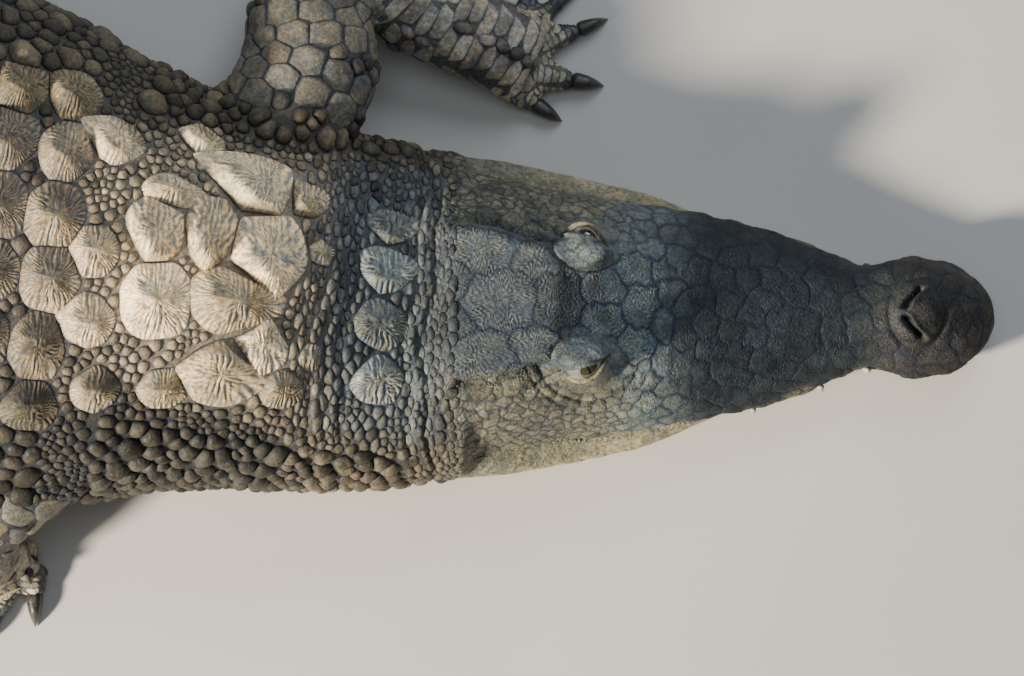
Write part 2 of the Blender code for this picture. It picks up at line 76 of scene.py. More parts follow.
CROWN = [(0, 0.050), (0.02, 0.066), (0.05, 0.077), (0.075, 0.081), (0.11, 0.077), (0.15, 0.080),
         (0.20, 0.088), (0.25, 0.098), (0.30, 0.113), (0.34, 0.130), (0.375, 0.148),
         (0.41, 0.157), (0.45, 0.159), (0.52, 0.152)]
MOUTH = [(0, 0.036), (0.05, 0.031), (0.115, 0.042), (0.19, 0.032), (0.27, 0.045),
         (0.35, 0.042), (0.43, 0.060), (0.52, 0.086)]
HALF_WIDTH = [(0.50, 0.150), (0.56, 0.157), (0.61, 0.163), (0.66, 0.167), (0.725, 0.176),
              (0.80, 0.200), (0.88, 0.228), (1.00, 0.258), (1.20, 0.275), (1.40, 0.255),
              (1.55, 0.215), (1.65, 0.178), (1.85, 0.140), (2.10, 0.112), (2.45, 0.080),
              (2.85, 0.050), (3.20, 0.027), (3.44, 0.012), (3.50, 0.004)]
BACK_HEIGHT = [(0.50, 0.150), (0.54, 0.154), (0.58, 0.168), (0.62, 0.190), (0.68, 0.216),
               (0.75, 0.236), (0.85, 0.256), (1.00, 0.272), (1.20, 0.280), (1.40, 0.270),
               (1.60, 0.245), (1.75, 0.220), (2.00, 0.180), (2.40, 0.135), (2.80, 0.098),
               (3.20, 0.062), (3.44, 0.034), (3.50, 0.020)]
WIDEST_AT = [(0.50, 0.055), (0.66, 0.070), (0.85, 0.090), (1.20, 0.095), (1.60, 0.090),
             (2.00, 0.075), (2.80, 0.040), (3.50, 0.010)]
SINK = 0.006
TOP_ROUND, BOTTOM_ROUND = 0.80, 0.62
EYE_AT = (0.378, 0.0530, 0.1445)
EYE_RADIUS = 0.0185
TABLE_START, TABLE_END, TABLE_HEIGHT = 0.385, 0.512, 0.166
NOSTRIL_AT = 0.074
LIDS_AT = (0.374, 0.0535)   # middle of the lids: s, v
INSET = 0.0015              # how far the skin lies inside the solids, for its scales to stand on
OVER_FLOOR, SCALES_OVER_FLOOR = 0.0004, 0.0003
TOE_HEIGHT = 0.86           # height of a toe's middle for its radius
NECK_END, FRONT_END, TRUNK_END = 0.84, 1.22, 1.66       # where one coat piece ends, by s

# Limbs from the body outwards: (s, v, z), half-width, half-height
LEFT_ARM = [((0.700, 0.095, 0.122), 0.062, 0.058), ((0.652, 0.205, 0.112), 0.064, 0.054),
            ((0.654, 0.265, 0.098), 0.057, 0.048), ((0.614, 0.346, 0.076), 0.045, 0.044),
            ((0.535, 0.290, 0.055), 0.048, 0.040), ((0.456, 0.253, 0.036), 0.043, 0.029),
            ((0.428, 0.239, 0.022), 0.043, 0.020)]
RIGHT_ARM = [((0.790, -0.120, 0.125), 0.050, 0.052), ((0.830, -0.168, 0.120), 0.046, 0.048),
             ((0.864, -0.210, 0.112), 0.042, 0.044), ((0.886, -0.242, 0.096), 0.039, 0.042),
             ((0.885, -0.262, 0.068), 0.036, 0.037), ((0.874, -0.264, 0.040), 0.034, 0.028),
             ((0.866, -0.270, 0.022), 0.040, 0.019)]
LEFT_LEG = [((1.600, 0.085, 0.120), 0.080, 0.074), ((1.548, 0.205, 0.108), 0.068, 0.062),
            ((1.500, 0.300, 0.090), 0.054, 0.052), ((1.500, 0.350, 0.076), 0.049, 0.048),
            ((1.560, 0.418, 0.056), 0.043, 0.042), ((1.618, 0.468, 0.038), 0.036, 0.031),
            ((1.606, 0.512, 0.024), 0.045, 0.022)]
# Toes: start and tip, each forward and outward of the wrist or ankle, and radius
FORE_DIGITS = [((-0.010, 0.027), (0.030, 0.053), 0.0130), ((0.0, 0.009), (0.070, 0.021), 0.0135),
               ((0.002, -0.014), (0.076, -0.042), 0.0118), ((-0.004, -0.031), (0.056, -0.080), 0.0095),
               ((-0.014, -0.038), (0.020, -0.094), 0.0085)]
HIND_DIGITS = [((0.0, 0.030), (0.095, 0.074), 0.0140), ((0.010, 0.012), (0.128, 0.030), 0.0145),
               ((0.010, -0.008), (0.132, -0.020), 0.0140), ((0.0, -0.028), (0.108, -0.074), 0.0115)]
CLAW_LENGTH = {"fore": 0.027, "hind": 0.034}


# ---------------------------------------------------------------- curves and the centreline
def curve(points):
    """A smooth function through the points that overshoots none of them (monotone cubic)."""
    x, y = np.array(points, float).T
    step = np.diff(x)
    rise = np.diff(y) / step
    slope = np.concatenate([[rise[0]], np.zeros(len(x) - 2), [rise[-1]]])
    for i in range(1, len(x) - 1):
        if rise[i - 1] * rise[i] > 0:
            a, b = 2 * step[i] + step[i - 1], step[i] + 2 * step[i - 1]
            slope[i] = (a + b) / (a / rise[i - 1] + b / rise[i])

    def at(value):
        q = np.clip(value, x[0], x[-1])
        i = np.clip(np.searchsorted(x, q) - 1, 0, len(step) - 1)
        t = (q - x[i]) / step[i]
        return ((2 * t**3 - 3 * t**2 + 1) * y[i] + (t**3 - 2 * t**2 + t) * step[i] * slope[i]
                + (3 * t**2 - 2 * t**3) * y[i + 1] + (t**3 - t**2) * step[i] * slope[i + 1])

    return at


heading_at, upper_half, lower_half = curve(HEADING), curve(UPPER_HALF), curve(LOWER_HALF)
crown_at, mouth_at = curve(CROWN), curve(MOUTH)
half_width, back_height, widest_at = curve(HALF_WIDTH), curve(BACK_HEIGHT), curve(WIDEST_AT)


def centreline():
    """s, x and y of points along the bent centreline."""
    s = np.arange(0, TOTAL_LENGTH + LINE_STEP, LINE_STEP)
    angle = np.radians(heading_at(s))
    x = -np.concatenate([[0], np.cumsum(LINE_STEP * np.cos(angle[:-1]))])
    y = np.concatenate([[0], np.cumsum(LINE_STEP * np.sin(angle[:-1]))])
    return s, x - np.interp(BELLY_REST, s, x), y - np.interp(BELLY_REST, s, y)


LINE_S, LINE_X, LINE_Y = centreline()


def place(s, v, z):
    """Points at s along the centreline, v to the animal's left and z above the floor."""
    angle = np.radians(heading_at(s))
    x = np.interp(s, LINE_S, LINE_X) + v * np.sin(angle)
    y = np.interp(s, LINE_S, LINE_Y) + v * np.cos(angle)
    return np.stack(np.broadcast_arrays(x, y, z), -1)


def along_body(points):
    """s and v of points, by stepping along the centreline to the foot of each."""
    s = LINE_X[0] - points[:, 0]
    for _ in range(8):
        s = np.clip(s, 0, TOTAL_LENGTH)
        angle = np.radians(heading_at(s))
        dx = points[:, 0] - np.interp(s, LINE_S, LINE_X)
        dy = points[:, 1] - np.interp(s, LINE_S, LINE_Y)
        s = s - dx * np.cos(angle) + dy * np.sin(angle)
    # Ahead of the snout and behind the tail the line runs on straight
    return s, dx * np.sin(angle) + dy * np.cos(angle)


def smooth(low, high, value):
    """A soft step from 0 at low to 1 at high."""
    t = np.clip((value - low) / (high - low), 0, 1)
    return t * t * (3 - 2 * t)


def bump(centre, width, value):
    """A soft bump of height 1 round centre."""
    return np.exp(-((value - centre) / width) ** 2)


# ---------------------------------------------------------------- cross-sections
def body_section(s, angle, grow=0.0):
    """v and z round the trunk's or tail's section, from angle 0 on the left over the back."""
    c, q = np.cos(angle), np.sin(angle)
    widest = widest_at(s)
    v = (half_width(s) + grow) * np.sign(c) * np.abs(c) ** np.where(q >= 0, 0.92, 0.80)
    top = widest + (back_height(s) + grow - widest) * np.abs(q) ** TOP_ROUND
    low = np.maximum(0.0, widest - (widest + SINK) * np.abs(q) ** BOTTOM_ROUND)
    return v, np.where(q >= 0, top, low)


def back_at(s, v):
    """Height of the back's surface, without its shields."""
    ratio = np.minimum(0.999, np.abs(v) / half_width(s))
    q = np.sqrt(1 - ratio ** (2 / 0.92))
    return widest_at(s) + (back_height(s) - widest_at(s)) * q**TOP_ROUND


def head_height(u, v):
    """Height of the head's upper surface at u behind the snout's tip and v from the midline."""
    v = np.abs(v)
    f = np.minimum(1.0, v / upper_half(u))
    lip = mouth_at(u)
    z = lip + (crown_at(u) - lip) * (1 - f**2.3) ** 0.55
    z = z + 0.010 * smooth(0.40, 0.46, u) * np.sin(pi * f) ** 2 * (f > 0.5)
    far = np.sqrt(((u - EYE_AT[0]) / 0.037) ** 2 + ((v - 0.051) / 0.028) ** 2)
    z = np.maximum(z, lip + (0.1655 - lip) * (1 - smooth(0.55, 1.25, far)))
    inside = smooth(TABLE_START, 0.41, u) * (1 - smooth(TABLE_END - 0.017, TABLE_END, u))
    table_half = 0.046 + 0.018 * smooth(0.40, 0.48, u)
    table = TABLE_HEIGHT - 0.004 * (1 - (v / table_half) ** 2)
    level = inside * (1 - smooth(table_half, table_half + 0.012, v))
    z = np.maximum(z, z + (table - z) * level)
    nose = np.sqrt(((u - NOSTRIL_AT) / 0.030) ** 2 + (v / 0.034) ** 2)
    return z + 0.007 * (1 - smooth(0.4, 1.1, nose))


def jaw_section(u, angle):
    """v and z round the lower jaw's section."""
    c, q = np.cos(angle), np.sin(angle)
    top, bulge = mouth_at(u), smooth(0.20, 0.36, u)
    widest = top * (0.80 - 0.22 * bulge)
    v = lower_half(u) * np.sign(c) * np.abs(c) ** 0.9
    high = widest + (top - widest) * np.abs(q) ** (0.35 + 0.25 * bulge)
    low = np.maximum(0.0, widest - (widest + 0.002) * np.abs(q) ** 0.75)
    return v, np.where(q >= 0, high, low)


# ---------------------------------------------------------------- meshes
def new_object(name, points, faces):
    mesh = bpy.data.meshes.new(name)
    mesh.from_pydata(np.asarray(points).tolist(), [], faces)
    obj = bpy.data.objects.new(name, mesh)
    bpy.context.scene.collection.objects.link(obj)
    return obj


def loft_arrays(rings):
    """Points and faces of a closed body through rings with the same number of points."""
    rings = np.asarray(rings, float)
    count, sides = rings.shape[:2]
    index = np.arange(count * sides).reshape(count, sides)
    after = np.roll(index, -1, axis=1)
    quads = np.stack([index[:-1], after[:-1], after[1:], index[1:]], -1).reshape(-1, 4)
    faces = quads.tolist() + [index[0][::-1].tolist(), index[-1].tolist()]
    return rings.reshape(-1, 3), faces


def read_points(mesh):
    found = np.empty(len(mesh.vertices) * 3, np.float32)
    mesh.vertices.foreach_get("co", found)
    return found.reshape(-1, 3).astype(float)


def read_normals(mesh):
    found = np.empty(len(mesh.vertices) * 3, np.float32)
    mesh.vertex_normals.foreach_get("vector", found)
    return found.reshape(-1, 3).astype(float)


def read_edges(mesh):
    found = np.empty(len(mesh.edges) * 2, np.int32)
    mesh.edges.foreach_get("vertices", found)
    return found.reshape(-1, 2)


def write_points(mesh, points):
    mesh.vertices.foreach_set("co", points.astype(np.float32).ravel())
    mesh.update()


def relax(points, edges, times, amount):
    """Laplacian smoothing, where amount is one number or one for each point."""
    count = len(points)
    degree = np.bincount(edges.ravel(), minlength=count)
    amount = np.broadcast_to(amount, count)[:, None]
    a, b = edges.T
    for _ in range(times):
        total = np.stack([np.bincount(a, points[b, k], count) + np.bincount(b, points[a, k], count)
                          for k in range(3)], -1)
        points = points + amount * (total / degree[:, None] - points)
    return points


# ---------------------------------------------------------------- limbs
def spline(knots, count):
    """Points evenly spread along a smooth curve (Catmull-Rom) through rows of numbers."""
    knots = np.asarray(knots, float)
    padded = np.vstack([2 * knots[0] - knots[1], knots, 2 * knots[-1] - knots[-2]])
    at = np.linspace(0, len(knots) - 1, count)
    i = np.minimum(at.astype(int), len(knots) - 2)
    t = (at - i)[:, None]
    p0, p1, p2, p3 = (padded[i + k] for k in range(4))
    return 0.5 * (2 * p1 + (p2 - p0) * t + (2 * p0 - 5 * p1 + 4 * p2 - p3) * t**2
                  + (3 * p1 - p0 - 3 * p2 + p3) * t**3)


def tube(path, sides, way=None):
    """Rings round rows of (x, y, z, half-width across, half-height)."""
    path = np.asarray(path, float)
    points = path[:, :3]
    along = np.gradient(points, axis=0) if way is None else np.broadcast_to(way, points.shape)
    along = along / np.linalg.norm(along, axis=1, keepdims=True)
    across = np.cross((0, 0, 1), along)
    across /= np.linalg.norm(across, axis=1, keepdims=True)
    up = np.cross(along, across)
    turn = np.arange(sides) * 2 * pi / sides
    return (points[:, None] + across[:, None] * path[:, 3, None, None] * np.cos(turn)[:, None]
            + up[:, None] * path[:, 4, None, None] * np.sin(turn)[:, None])


def run_of(points):
    """The distance along a line of points from its first one to each."""
    return np.concatenate([[0], np.cumsum(np.linalg.norm(np.diff(points, axis=0), axis=1))])


def limb_path(path):
    """Rows of x, y, z, half-width and half-height."""
    return np.array([[*place(*at), wide, tall] for at, wide, tall in path])


def mirrored(path):
    return [((s, -v, z), wide, tall) for (s, v, z), wide, tall in path]


LIMBS = {"left_hand": (limb_path(LEFT_ARM), 2, 1, FORE_DIGITS, "fore"),
         "right_hand": (limb_path(RIGHT_ARM), -122, -1, FORE_DIGITS, "fore"),
         "left_foot": (limb_path(LEFT_LEG), 52, 1, HIND_DIGITS, "hind"),
         "right_foot": (limb_path(mirrored(LEFT_LEG)), -72, -1, HIND_DIGITS, "hind")}


def toe_line(name, number):
    """Start, end of the flesh, tip, direction, radius and claw's length of one toe on the floor."""
    path, turn, side, digits, kind = LIMBS[name]
    base, tip, radius = digits[number]
    angle = radians(turn)
    along = np.array([cos(angle), sin(angle), 0])
    across = np.array([sin(angle), -cos(angle), 0]) * side
    foot = path[-1, :3] * (1, 1, 0)
    start, end = (foot + along * p[0] + across * p[1] for p in (base, tip))
    way = (end - start) / np.linalg.norm(end - start)
    claw = CLAW_LENGTH[kind] if number < 3 else 0.0
    return start, end - way * claw, end, way, radius, claw


# ---------------------------------------------------------------- the skin's first form
VOXEL = 0.0055


def body_form():
    """Trunk and tail."""
    stations = np.concatenate([np.arange(0.485, 3.40, 0.012), np.arange(3.40, 3.4999, 0.006), [3.499]])
    angle = 2 * pi * np.arange(96) / 96
    return loft_arrays([place(s, *body_section(s, angle, -INSET)) for s in stations])


def head_form():
    """Skull and snout, down to a little under the mouth line."""
    rings = []
    for u in np.concatenate([[0.002, 0.006, 0.010], np.arange(0.016, 0.53, 0.004)]):
        half = upper_half(u) - INSET
        v = half * np.cos(pi * np.arange(73) / 72)
        top = np.stack([v, np.maximum(head_height(u, v * upper_half(u) / half) - INSET,
                                      mouth_at(u) + 0.002)], -1)
        sunk = mouth_at(u) - 0.007
        floor = np.stack([np.linspace(-0.93, 0.93, 24) * min(half, lower_half(u)),
                          np.full(24, sunk)], -1)
        rings.append(place(u, *np.vstack([top, floor]).T))
    return loft_arrays(rings)


def jaw_form():
    angle = 2 * pi * np.arange(72) / 72
    stations = np.concatenate([[0.007, 0.010], np.arange(0.016, 0.53, 0.004)])
    rings = []
    for u in stations:
        v, z = jaw_section(u, angle)
        rings.append(place(u, v * (1 - INSET / max(lower_half(u), 0.01)), z))
    return loft_arrays(rings)


def toe_form(name, number):
    """A toe with swellings at its joints."""
    start, flesh, _, way, radius, claw = toe_line(name, number)
    low = radius * TOE_HEIGHT
    reach = [(-0.012, 1.00, 0.96), (0.25, 1.08, 1.00), (0.45, 1.0, 0.95), (0.62, 1.04, 0.97),
             (0.80, 0.92, 0.86), (1.0, 0.80, 0.74)]
    rows = []
    for share, height, half in reach:
        point = start - way * 0.012 if share < 0 else start + (flesh - start) * share
        rows.append([*point[:2], low * height, radius * half, radius * half])
    last = flesh + way * (0.0012 if claw else 0.006)
    rows.append([*last[:2], low * (0.78 if claw else 0.5), radius * (0.66 if claw else 0.3),
                 radius * (0.64 if claw else 0.3)])
    return loft_arrays(tube(spline(rows, 30), 20, way))


def limb_form(name):
    path = spline(LIMBS[name][0], 60)
    path[:, 3:] -= INSET
    return loft_arrays(tube(path, 32))


def web_form(name):
    """The skin between a hind foot's toes."""
    path, turn, _, digits, _ = LIMBS[name]
    tips = []
    for number in range(len(digits)):
        start, _, end, *_ = toe_line(name, number)
        tips.append(start + (end - start) * (0.45 if number < 3 else 0.35))
    angle = radians(turn)
    heel = path[-1, :3] * (1, 1, 0) - np.array([cos(angle), sin(angle), 0]) * 0.010
    outline = np.array([heel, *tips])
    return loft_arrays([outline + (0, 0, z) for z in (0.0035, 0.0105)])


def closed_parts():
    parts = [body_form(), head_form(), jaw_form()]
    for name in LIMBS:
        parts.append(limb_form(name))
        parts += [toe_form(name, k) for k in range(len(LIMBS[name][3]))]
        if name.endswith("foot"):
            parts.append(web_form(name))
    return parts


def merged(parts):
    points, faces, start = [], [], 0
    for part_points, part_faces in parts:
        points.append(part_points)
        faces += [[i + start for i in face] for face in part_faces]
        start += len(part_points)
    return np.vstack(points), faces


def first_form():
    """All the closed forms in one, remade as an even mesh of squares and smoothed."""
    obj = new_object("skin", *merged(closed_parts()))
    shape = bmesh.new()
    shape.from_mesh(obj.data)
    bmesh.ops.recalc_face_normals(shape, faces=shape.faces)
    shape.to_mesh(obj.data)
    shape.free()
    remesh = obj.modifiers.new("remesh", "REMESH")
    remesh.mode = "VOXEL"
    remesh.voxel_size = VOXEL
    remesh.adaptivity = 0
    graph = bpy.context.evaluated_depsgraph_get()
    mesh = bpy.data.meshes.new_from_object(obj.evaluated_get(graph))
    obj.modifiers.clear()
    obj.data = mesh
    points, edges = read_points(mesh), read_edges(mesh)
    write_points(mesh, relax(points, edges, 3, 0.5))
    # The hollow between cheek, jaw and neck is filled out
    points, normals = read_points(mesh), read_normals(mesh)
    s, v = along_body(points)
    soft = bump(0.486, 0.030, s) * smooth(0.070, 0.090, np.abs(v)) * (1 - smooth(0.13, 0.15, points[:, 2]))
    level = relax(points, edges, 160, 0.5 * soft)
    out = np.maximum(0, np.sum((level - points) * normals, 1))
    write_points(mesh, points + normals * out[:, None])
    return obj


def refine(obj, wanted):
    """Splits into four each square whose corners are all wanted."""
    shape = bmesh.new()
    shape.from_mesh(obj.data)
    shape.verts.ensure_lookup_table()
    edges = {edge for face in shape.faces if all(wanted[v.index] for v in face.verts)
             for edge in face.edges}
    bmesh.ops.subdivide_edges(shape, edges=list(edges), cuts=1, use_grid_fill=True)
    shape.to_mesh(obj.data)
    shape.free()


# ---------------------------------------------------------------- where scales sit
def unit(vectors):
    return vectors / np.maximum(np.linalg.norm(vectors, axis=-1, keepdims=True), 1e-9)


def spread(points, gap, kept):
    """Picks points at random so that each keeps its own gap to the others and to the first ones."""
    size = gap.max()
    taken = {}
    keys = np.floor(points / size).astype(int)
    chosen = []
    steps = [(i, j, k) for i in (-1, 0, 1) for j in (-1, 0, 1) for k in (-1, 0, 1)]
    for index in np.concatenate([np.arange(kept), kept + rng.permutation(len(points) - kept)]):
        x, y, z = points[index]
        a, b, c = keys[index]
        own, free = gap[index], True
        if index >= kept:
            for i, j, k in steps:
                for ox, oy, oz, other in taken.get((a + i, b + j, c + k), ()):
                    least = (own + other) / 2
                    if (x - ox) ** 2 + (y - oy) ** 2 + (z - oz) ** 2 < least * least:
                        free = False
                        break
                if not free:
                    break
        if free:
            taken.setdefault((a, b, c), []).append((x, y, z, own))
            if index >= kept:
                chosen.append(index)
    return np.array(chosen)


def waves(points, size, seed, layers=2):
    """Soft variation of about -1 to 1 over roughly that size, from waves in many directions."""
    maker = np.random.default_rng(seed)
    total = np.zeros(len(points))
    for layer in range(layers):
        for _ in range(6):
            way = unit(maker.normal(size=3)) * 2 * pi / size * 1.8**layer
            total += np.sin(points @ way + maker.uniform(0, 2 * pi)) / 1.6**layer
    return total / 3.4


# ---------------------------------------------------------------- the skin: regions, lids and folds
LIMB_LINES = {name: spline(LIMBS[name][0], 80) for name in LIMBS}


def regions(points):
    """s, v, number of the limb or -1, number of the toe or -1, distance down it and the way down."""
    s, v = along_body(points)
    angle = np.radians(heading_at(s))
    way = np.stack([-np.cos(angle), np.sin(angle), np.zeros(len(s))], -1)
    limb, toe, far = np.full(len(s), -1), np.full(len(s), -1), np.zeros(len(s))
    off = np.abs(v) > np.where(s < 0.5, 0.165, half_width(np.clip(s, 0.5, 3.5)) + 0.004)
    nearest = np.full(len(s), 9.0)
    for number, name in enumerate(LIMBS):
        line = LIMB_LINES[name]
        low, high = line[:, :2].min(0) - 0.17, line[:, :2].max(0) + 0.17
        here = np.flatnonzero(off & np.all((points[:, :2] > low) & (points[:, :2] < high), axis=1))
        if not len(here):
            continue
        gap = np.linalg.norm(points[here, None] - line[None, :, :3], axis=2) - line[None, :, 3]
        at = gap.argmin(1)
        least = gap[np.arange(len(here)), at]
        length = run_of(line[:, :3])
        tangent = unit(np.gradient(line[:, :3], axis=0))
        better = least < nearest[here]
        mine = here[better]
        limb[mine], toe[mine], nearest[mine] = number, -1, least[better]
        far[mine], way[mine] = length[at[better]], tangent[at[better]]
        for digit in range(len(LIMBS[name][3])):
            start, _, end, down, radius, _ = toe_line(name, digit)
            reach = np.clip((points[here] - start) @ down, 0, np.linalg.norm(end - start))
            foot = start + (0, 0, radius * TOE_HEIGHT) + down * reach[:, None]
            least = np.linalg.norm(points[here] - foot, axis=1) - radius
            better = least < nearest[here] - 0.002
            mine = here[better]
            limb[mine], toe[mine], nearest[mine] = number, digit, least[better]
            far[mine], way[mine] = length[-1] + reach[better], down
    return s, v, limb, toe, far, way


EYE_OUT = radians(44)       # the lids' opening looks this far up from sideways
LID_LONG, LID_TALL = 0.0196, 0.0062
LID_TURN = radians(20)      # its front corner sits higher than its rear one


def eye_frames():
    """For each eye: centre, way it looks, its front direction along the opening and its upper one."""
    frames = []
    for side in (1, -1):
        centre = place(EYE_AT[0], side * EYE_AT[1], EYE_AT[2])
        out = unit(np.array([-0.08, side * cos(EYE_OUT), sin(EYE_OUT)]))
        front = unit(np.array([1.0, 0, 0]) - out * out[0])
        upper = np.cross(out, front) * side
        upper = upper if upper[2] > 0 else -upper
        turned = front * cos(LID_TURN) + upper * sin(LID_TURN)
        frames.append((side, centre, out, turned, upper * cos(LID_TURN) - front * sin(LID_TURN)))
    return frames


def lid_opening(offset, out, front, upper):
    """How far out of the almond opening a point is: below 1 inside, and its place in it."""
    ray = offset / np.maximum(np.linalg.norm(offset, axis=1, keepdims=True), 1e-6) * EYE_RADIUS
    a, b = ray @ front, ray @ upper
    tall = LID_TALL * np.maximum(0.05, 1 - np.abs(a / LID_LONG) ** 2.2)
    far = np.hypot(np.maximum(np.abs(a) - LID_LONG * 0.86, 0) / LID_LONG * 2.2, b / tall)
    return np.where(ray @ out > 0, far, 9.0), a, b


# Each of these adds its feature to press, how deep each point of the skin is pressed in
def press_mouth(press, s, v, z, up):
    """The mouth line, which ends before its corner, under lips that rise and fall over the teeth."""
    seam = (mouth_at(np.clip(s, 0, 0.52)) - 0.001) + 0.0025 * np.sin(s * 2 * pi / 0.047)
    side_on = smooth(0.25, 0.7, 1 - np.abs(up)) * (s < 0.47) * (np.abs(v) < 0.17)
    press += 0.0042 * bump(0, 0.0026, z - seam) * side_on * (1 - smooth(0.385, 0.430, s))
    lips = side_on * (1 - smooth(0.40, 0.44, s))
    press -= 0.0016 * bump(0.009, 0.005, z - seam) * lips * (0.6 + 0.4 * np.sin(s * 2 * pi / 0.033))


def press_nostrils(press, s, v, z):
    """Crescent nostrils on the raised disc, and the groove round it."""
    for side in (1, -1):
        t = np.clip((side * v - 0.003) / 0.019, 0, 1)
        mid = 0.0850 - 0.0150 * t + 0.0030 * np.sin(pi * t)
        across = (s - mid) / 0.0034
        along = np.maximum(np.abs(side * v - 0.0138) - 0.0080, 0) / 0.0022
        press += 0.0095 * np.exp(-across**2 - along**2) * (z > 0.05)
        press -= 0.0022 * np.exp(-((s - mid + 0.0058) / 0.004) ** 2 - (along * 0.6) ** 2) * (z > 0.05)
    disc = np.sqrt(((s - 0.073) / 0.0245) ** 2 + (v / 0.0305) ** 2)
    press += 0.0022 * bump(1.08, 0.11, disc) * (z > 0.05)


def press_crown(press, s, v, z, up):
    """Ridges before the eyes and beside the crown, the table's side edge and the ear slit under it."""
    av = np.abs(v)
    level = smooth(0.2, 0.6, up)
    press -= 0.0030 * level * bump(0.330, 0.028, s) * bump(0.047, 0.010, av)
    press -= 0.0022 * level * bump(0.40, 0.05, s) * bump(0.030, 0.007, av)
    edge = 0.049 + 0.018 * smooth(0.40, 0.48, s)
    table = smooth(0.402, 0.418, s) * (1 - smooth(0.486, 0.503, s)) * (z > 0.10)
    press -= 0.0022 * table * bump(edge - 0.004, 0.0055, av)
    press += 0.0062 * table * bump(edge + 0.0085, 0.0035, av)


# The neck's folds: s and depth
COLLARS = [(0.517, 0.004), (0.533, 0.003), (0.588, 0.0035), (0.601, 0.003), (0.616, 0.0035)]


def press_collars(press, s, v, z):
    """Folds across the neck."""
    wander = 0.006 * np.sin(v * 26) + 0.003 * np.sin(v * 71 + 1)
    top = smooth(0.02, 0.12, z)
    for at, depth in COLLARS:
        press += depth * top * bump(at, 0.0036, s + wander) * (np.abs(v) < 0.17)


def press_round_eyes(press, s, v, z):
    """A crease round the upper lid, a fold behind the eye, a pit before it and two wrinkles below."""
    for side in (1, -1):
        du, dv = s - LIDS_AT[0], side * v - LIDS_AT[1]
        ring = np.sqrt((du / 0.034) ** 2 + (dv / 0.0245) ** 2)
        inner = 1 - smooth(-0.006, 0.012, dv)
        press += 0.0020 * bump(1.0, 0.060, ring) * inner * (z > 0.11)
        fold = side * v - (0.066 + 0.55 * (s - 0.404))
        press += 0.0050 * bump(0, 0.0026, fold) * bump(0.413, 0.016, s) * (z > 0.09)
        pit = np.exp(-((s - 0.3475) / 0.006) ** 2 - ((side * v - 0.0555) / 0.0042) ** 2)
        press += 0.0050 * pit * (z > 0.09)
        for reach, depth in ((1.32, 0.0016), (1.62, 0.0012)):
            press += depth * bump(reach, 0.07, ring) * smooth(0.0, 0.012, dv) * (z > 0.10)


def close_lids(points):
    """Lays the lids close over each ball. They end in a rounded rim and give way inside the opening."""
    for _, centre, out, front, upper in eye_frames():
        offset = points - centre
        d = np.linalg.norm(offset, axis=1)
        far, *_ = lid_opening(offset, out, front, upper)
        near = (d < 0.034) & (offset @ out > -0.004)
        cover = EYE_RADIUS + 0.0019 + 0.0013 * bump(1.32, 0.30, far)
        hold = near * (1 - smooth(1.5, 3.2, far)) * (1 - smooth(0.026, 0.034, d))
        shut = smooth(0.86, 1.12, far)
        goal = (EYE_RADIUS - 0.0045) * (1 - shut) + cover * shut
        reach = d + (goal - d) * hold
        points = centre + offset * (reach / np.maximum(d, 1e-6))[:, None]
    return points


def shape_skin(obj):
    """Levels the join of head and neck, then presses in the features of the head and neck."""
    mesh = obj.data
    points, edges = read_points(mesh), read_edges(mesh)
    s, v = along_body(points)
    points = relax(points, edges, 14, 0.5 * np.clip(bump(0.525, 0.032, s), 0, 1))
    write_points(mesh, points)
    normals = read_normals(mesh)
    s, v = along_body(points)
    z, up = points[:, 2], normals[:, 2]
    press = np.zeros(len(points))
    press_mouth(press, s, v, z, up)
    press_nostrils(press, s, v, z)
    press_crown(press, s, v, z, up)
    press_collars(press, s, v, z)
    press_round_eyes(press, s, v, z)
    points = close_lids(points - normals * press[:, None])
    points[:, 2] = np.maximum(points[:, 2], OVER_FLOOR)
    write_points(mesh, points)


def make_skin():
    """The skin, finer on head and neck and finest on the head's top and sides."""
    obj = first_form()
    points = read_points(obj.data)
    s, v = along_body(points)
    refine(obj, (s < 0.56) & (points[:, 2] > 0.012) & (np.abs(v) < 0.175))
    write_points(obj.data, relax(read_points(obj.data), read_edges(obj.data), 2, 0.4))
    points = read_points(obj.data)
    s, v = along_body(points)
    refine(obj, (s < 0.53) & (points[:, 2] > 0.018) & (np.abs(v) < 0.175))
    points, normals = read_points(obj.data), read_normals(obj.data)
    s, v = along_body(points)
    lip = mouth_at(np.clip(s, 0, 0.52))
    refine(obj, (s < 0.522) & (points[:, 2] > lip - 0.004) & (normals[:, 2] > -0.25) & (np.abs(v) < 0.150))
    write_points(obj.data, relax(read_points(obj.data), read_edges(obj.data), 3, 0.4))
    shape_skin(obj)
    return obj


# ---------------------------------------------------------------- the head's cracked skin
def eye_distance(s, v):
    """Distance from the middle of the lids, for their size."""
    return np.hypot((s - LIDS_AT[0]) / 0.036, (np.abs(v) - LIDS_AT[1]) / 0.026)


# Plates of the skull table and between the eyes: u, v, half-length, half-width
TABLE_PLATES = [(0.452, 0.0, 0.040, 0.024), (0.497, 0.020, 0.020, 0.020), (0.497, -0.020, 0.020, 0.020),
                (0.474, 0.048, 0.034, 0.020), (0.474, -0.048, 0.034, 0.020),
                (0.420, 0.040, 0.022, 0.018), (0.420, -0.040, 0.022, 0.018),
                (0.402, 0.0, 0.026, 0.024), (0.358, 0.012, 0.022, 0.016), (0.358, -0.012, 0.022, 0.016),
                (0.326, 0.0, 0.016, 0.020), (0.330, 0.034, 0.017, 0.014), (0.330, -0.034, 0.017, 0.014)]


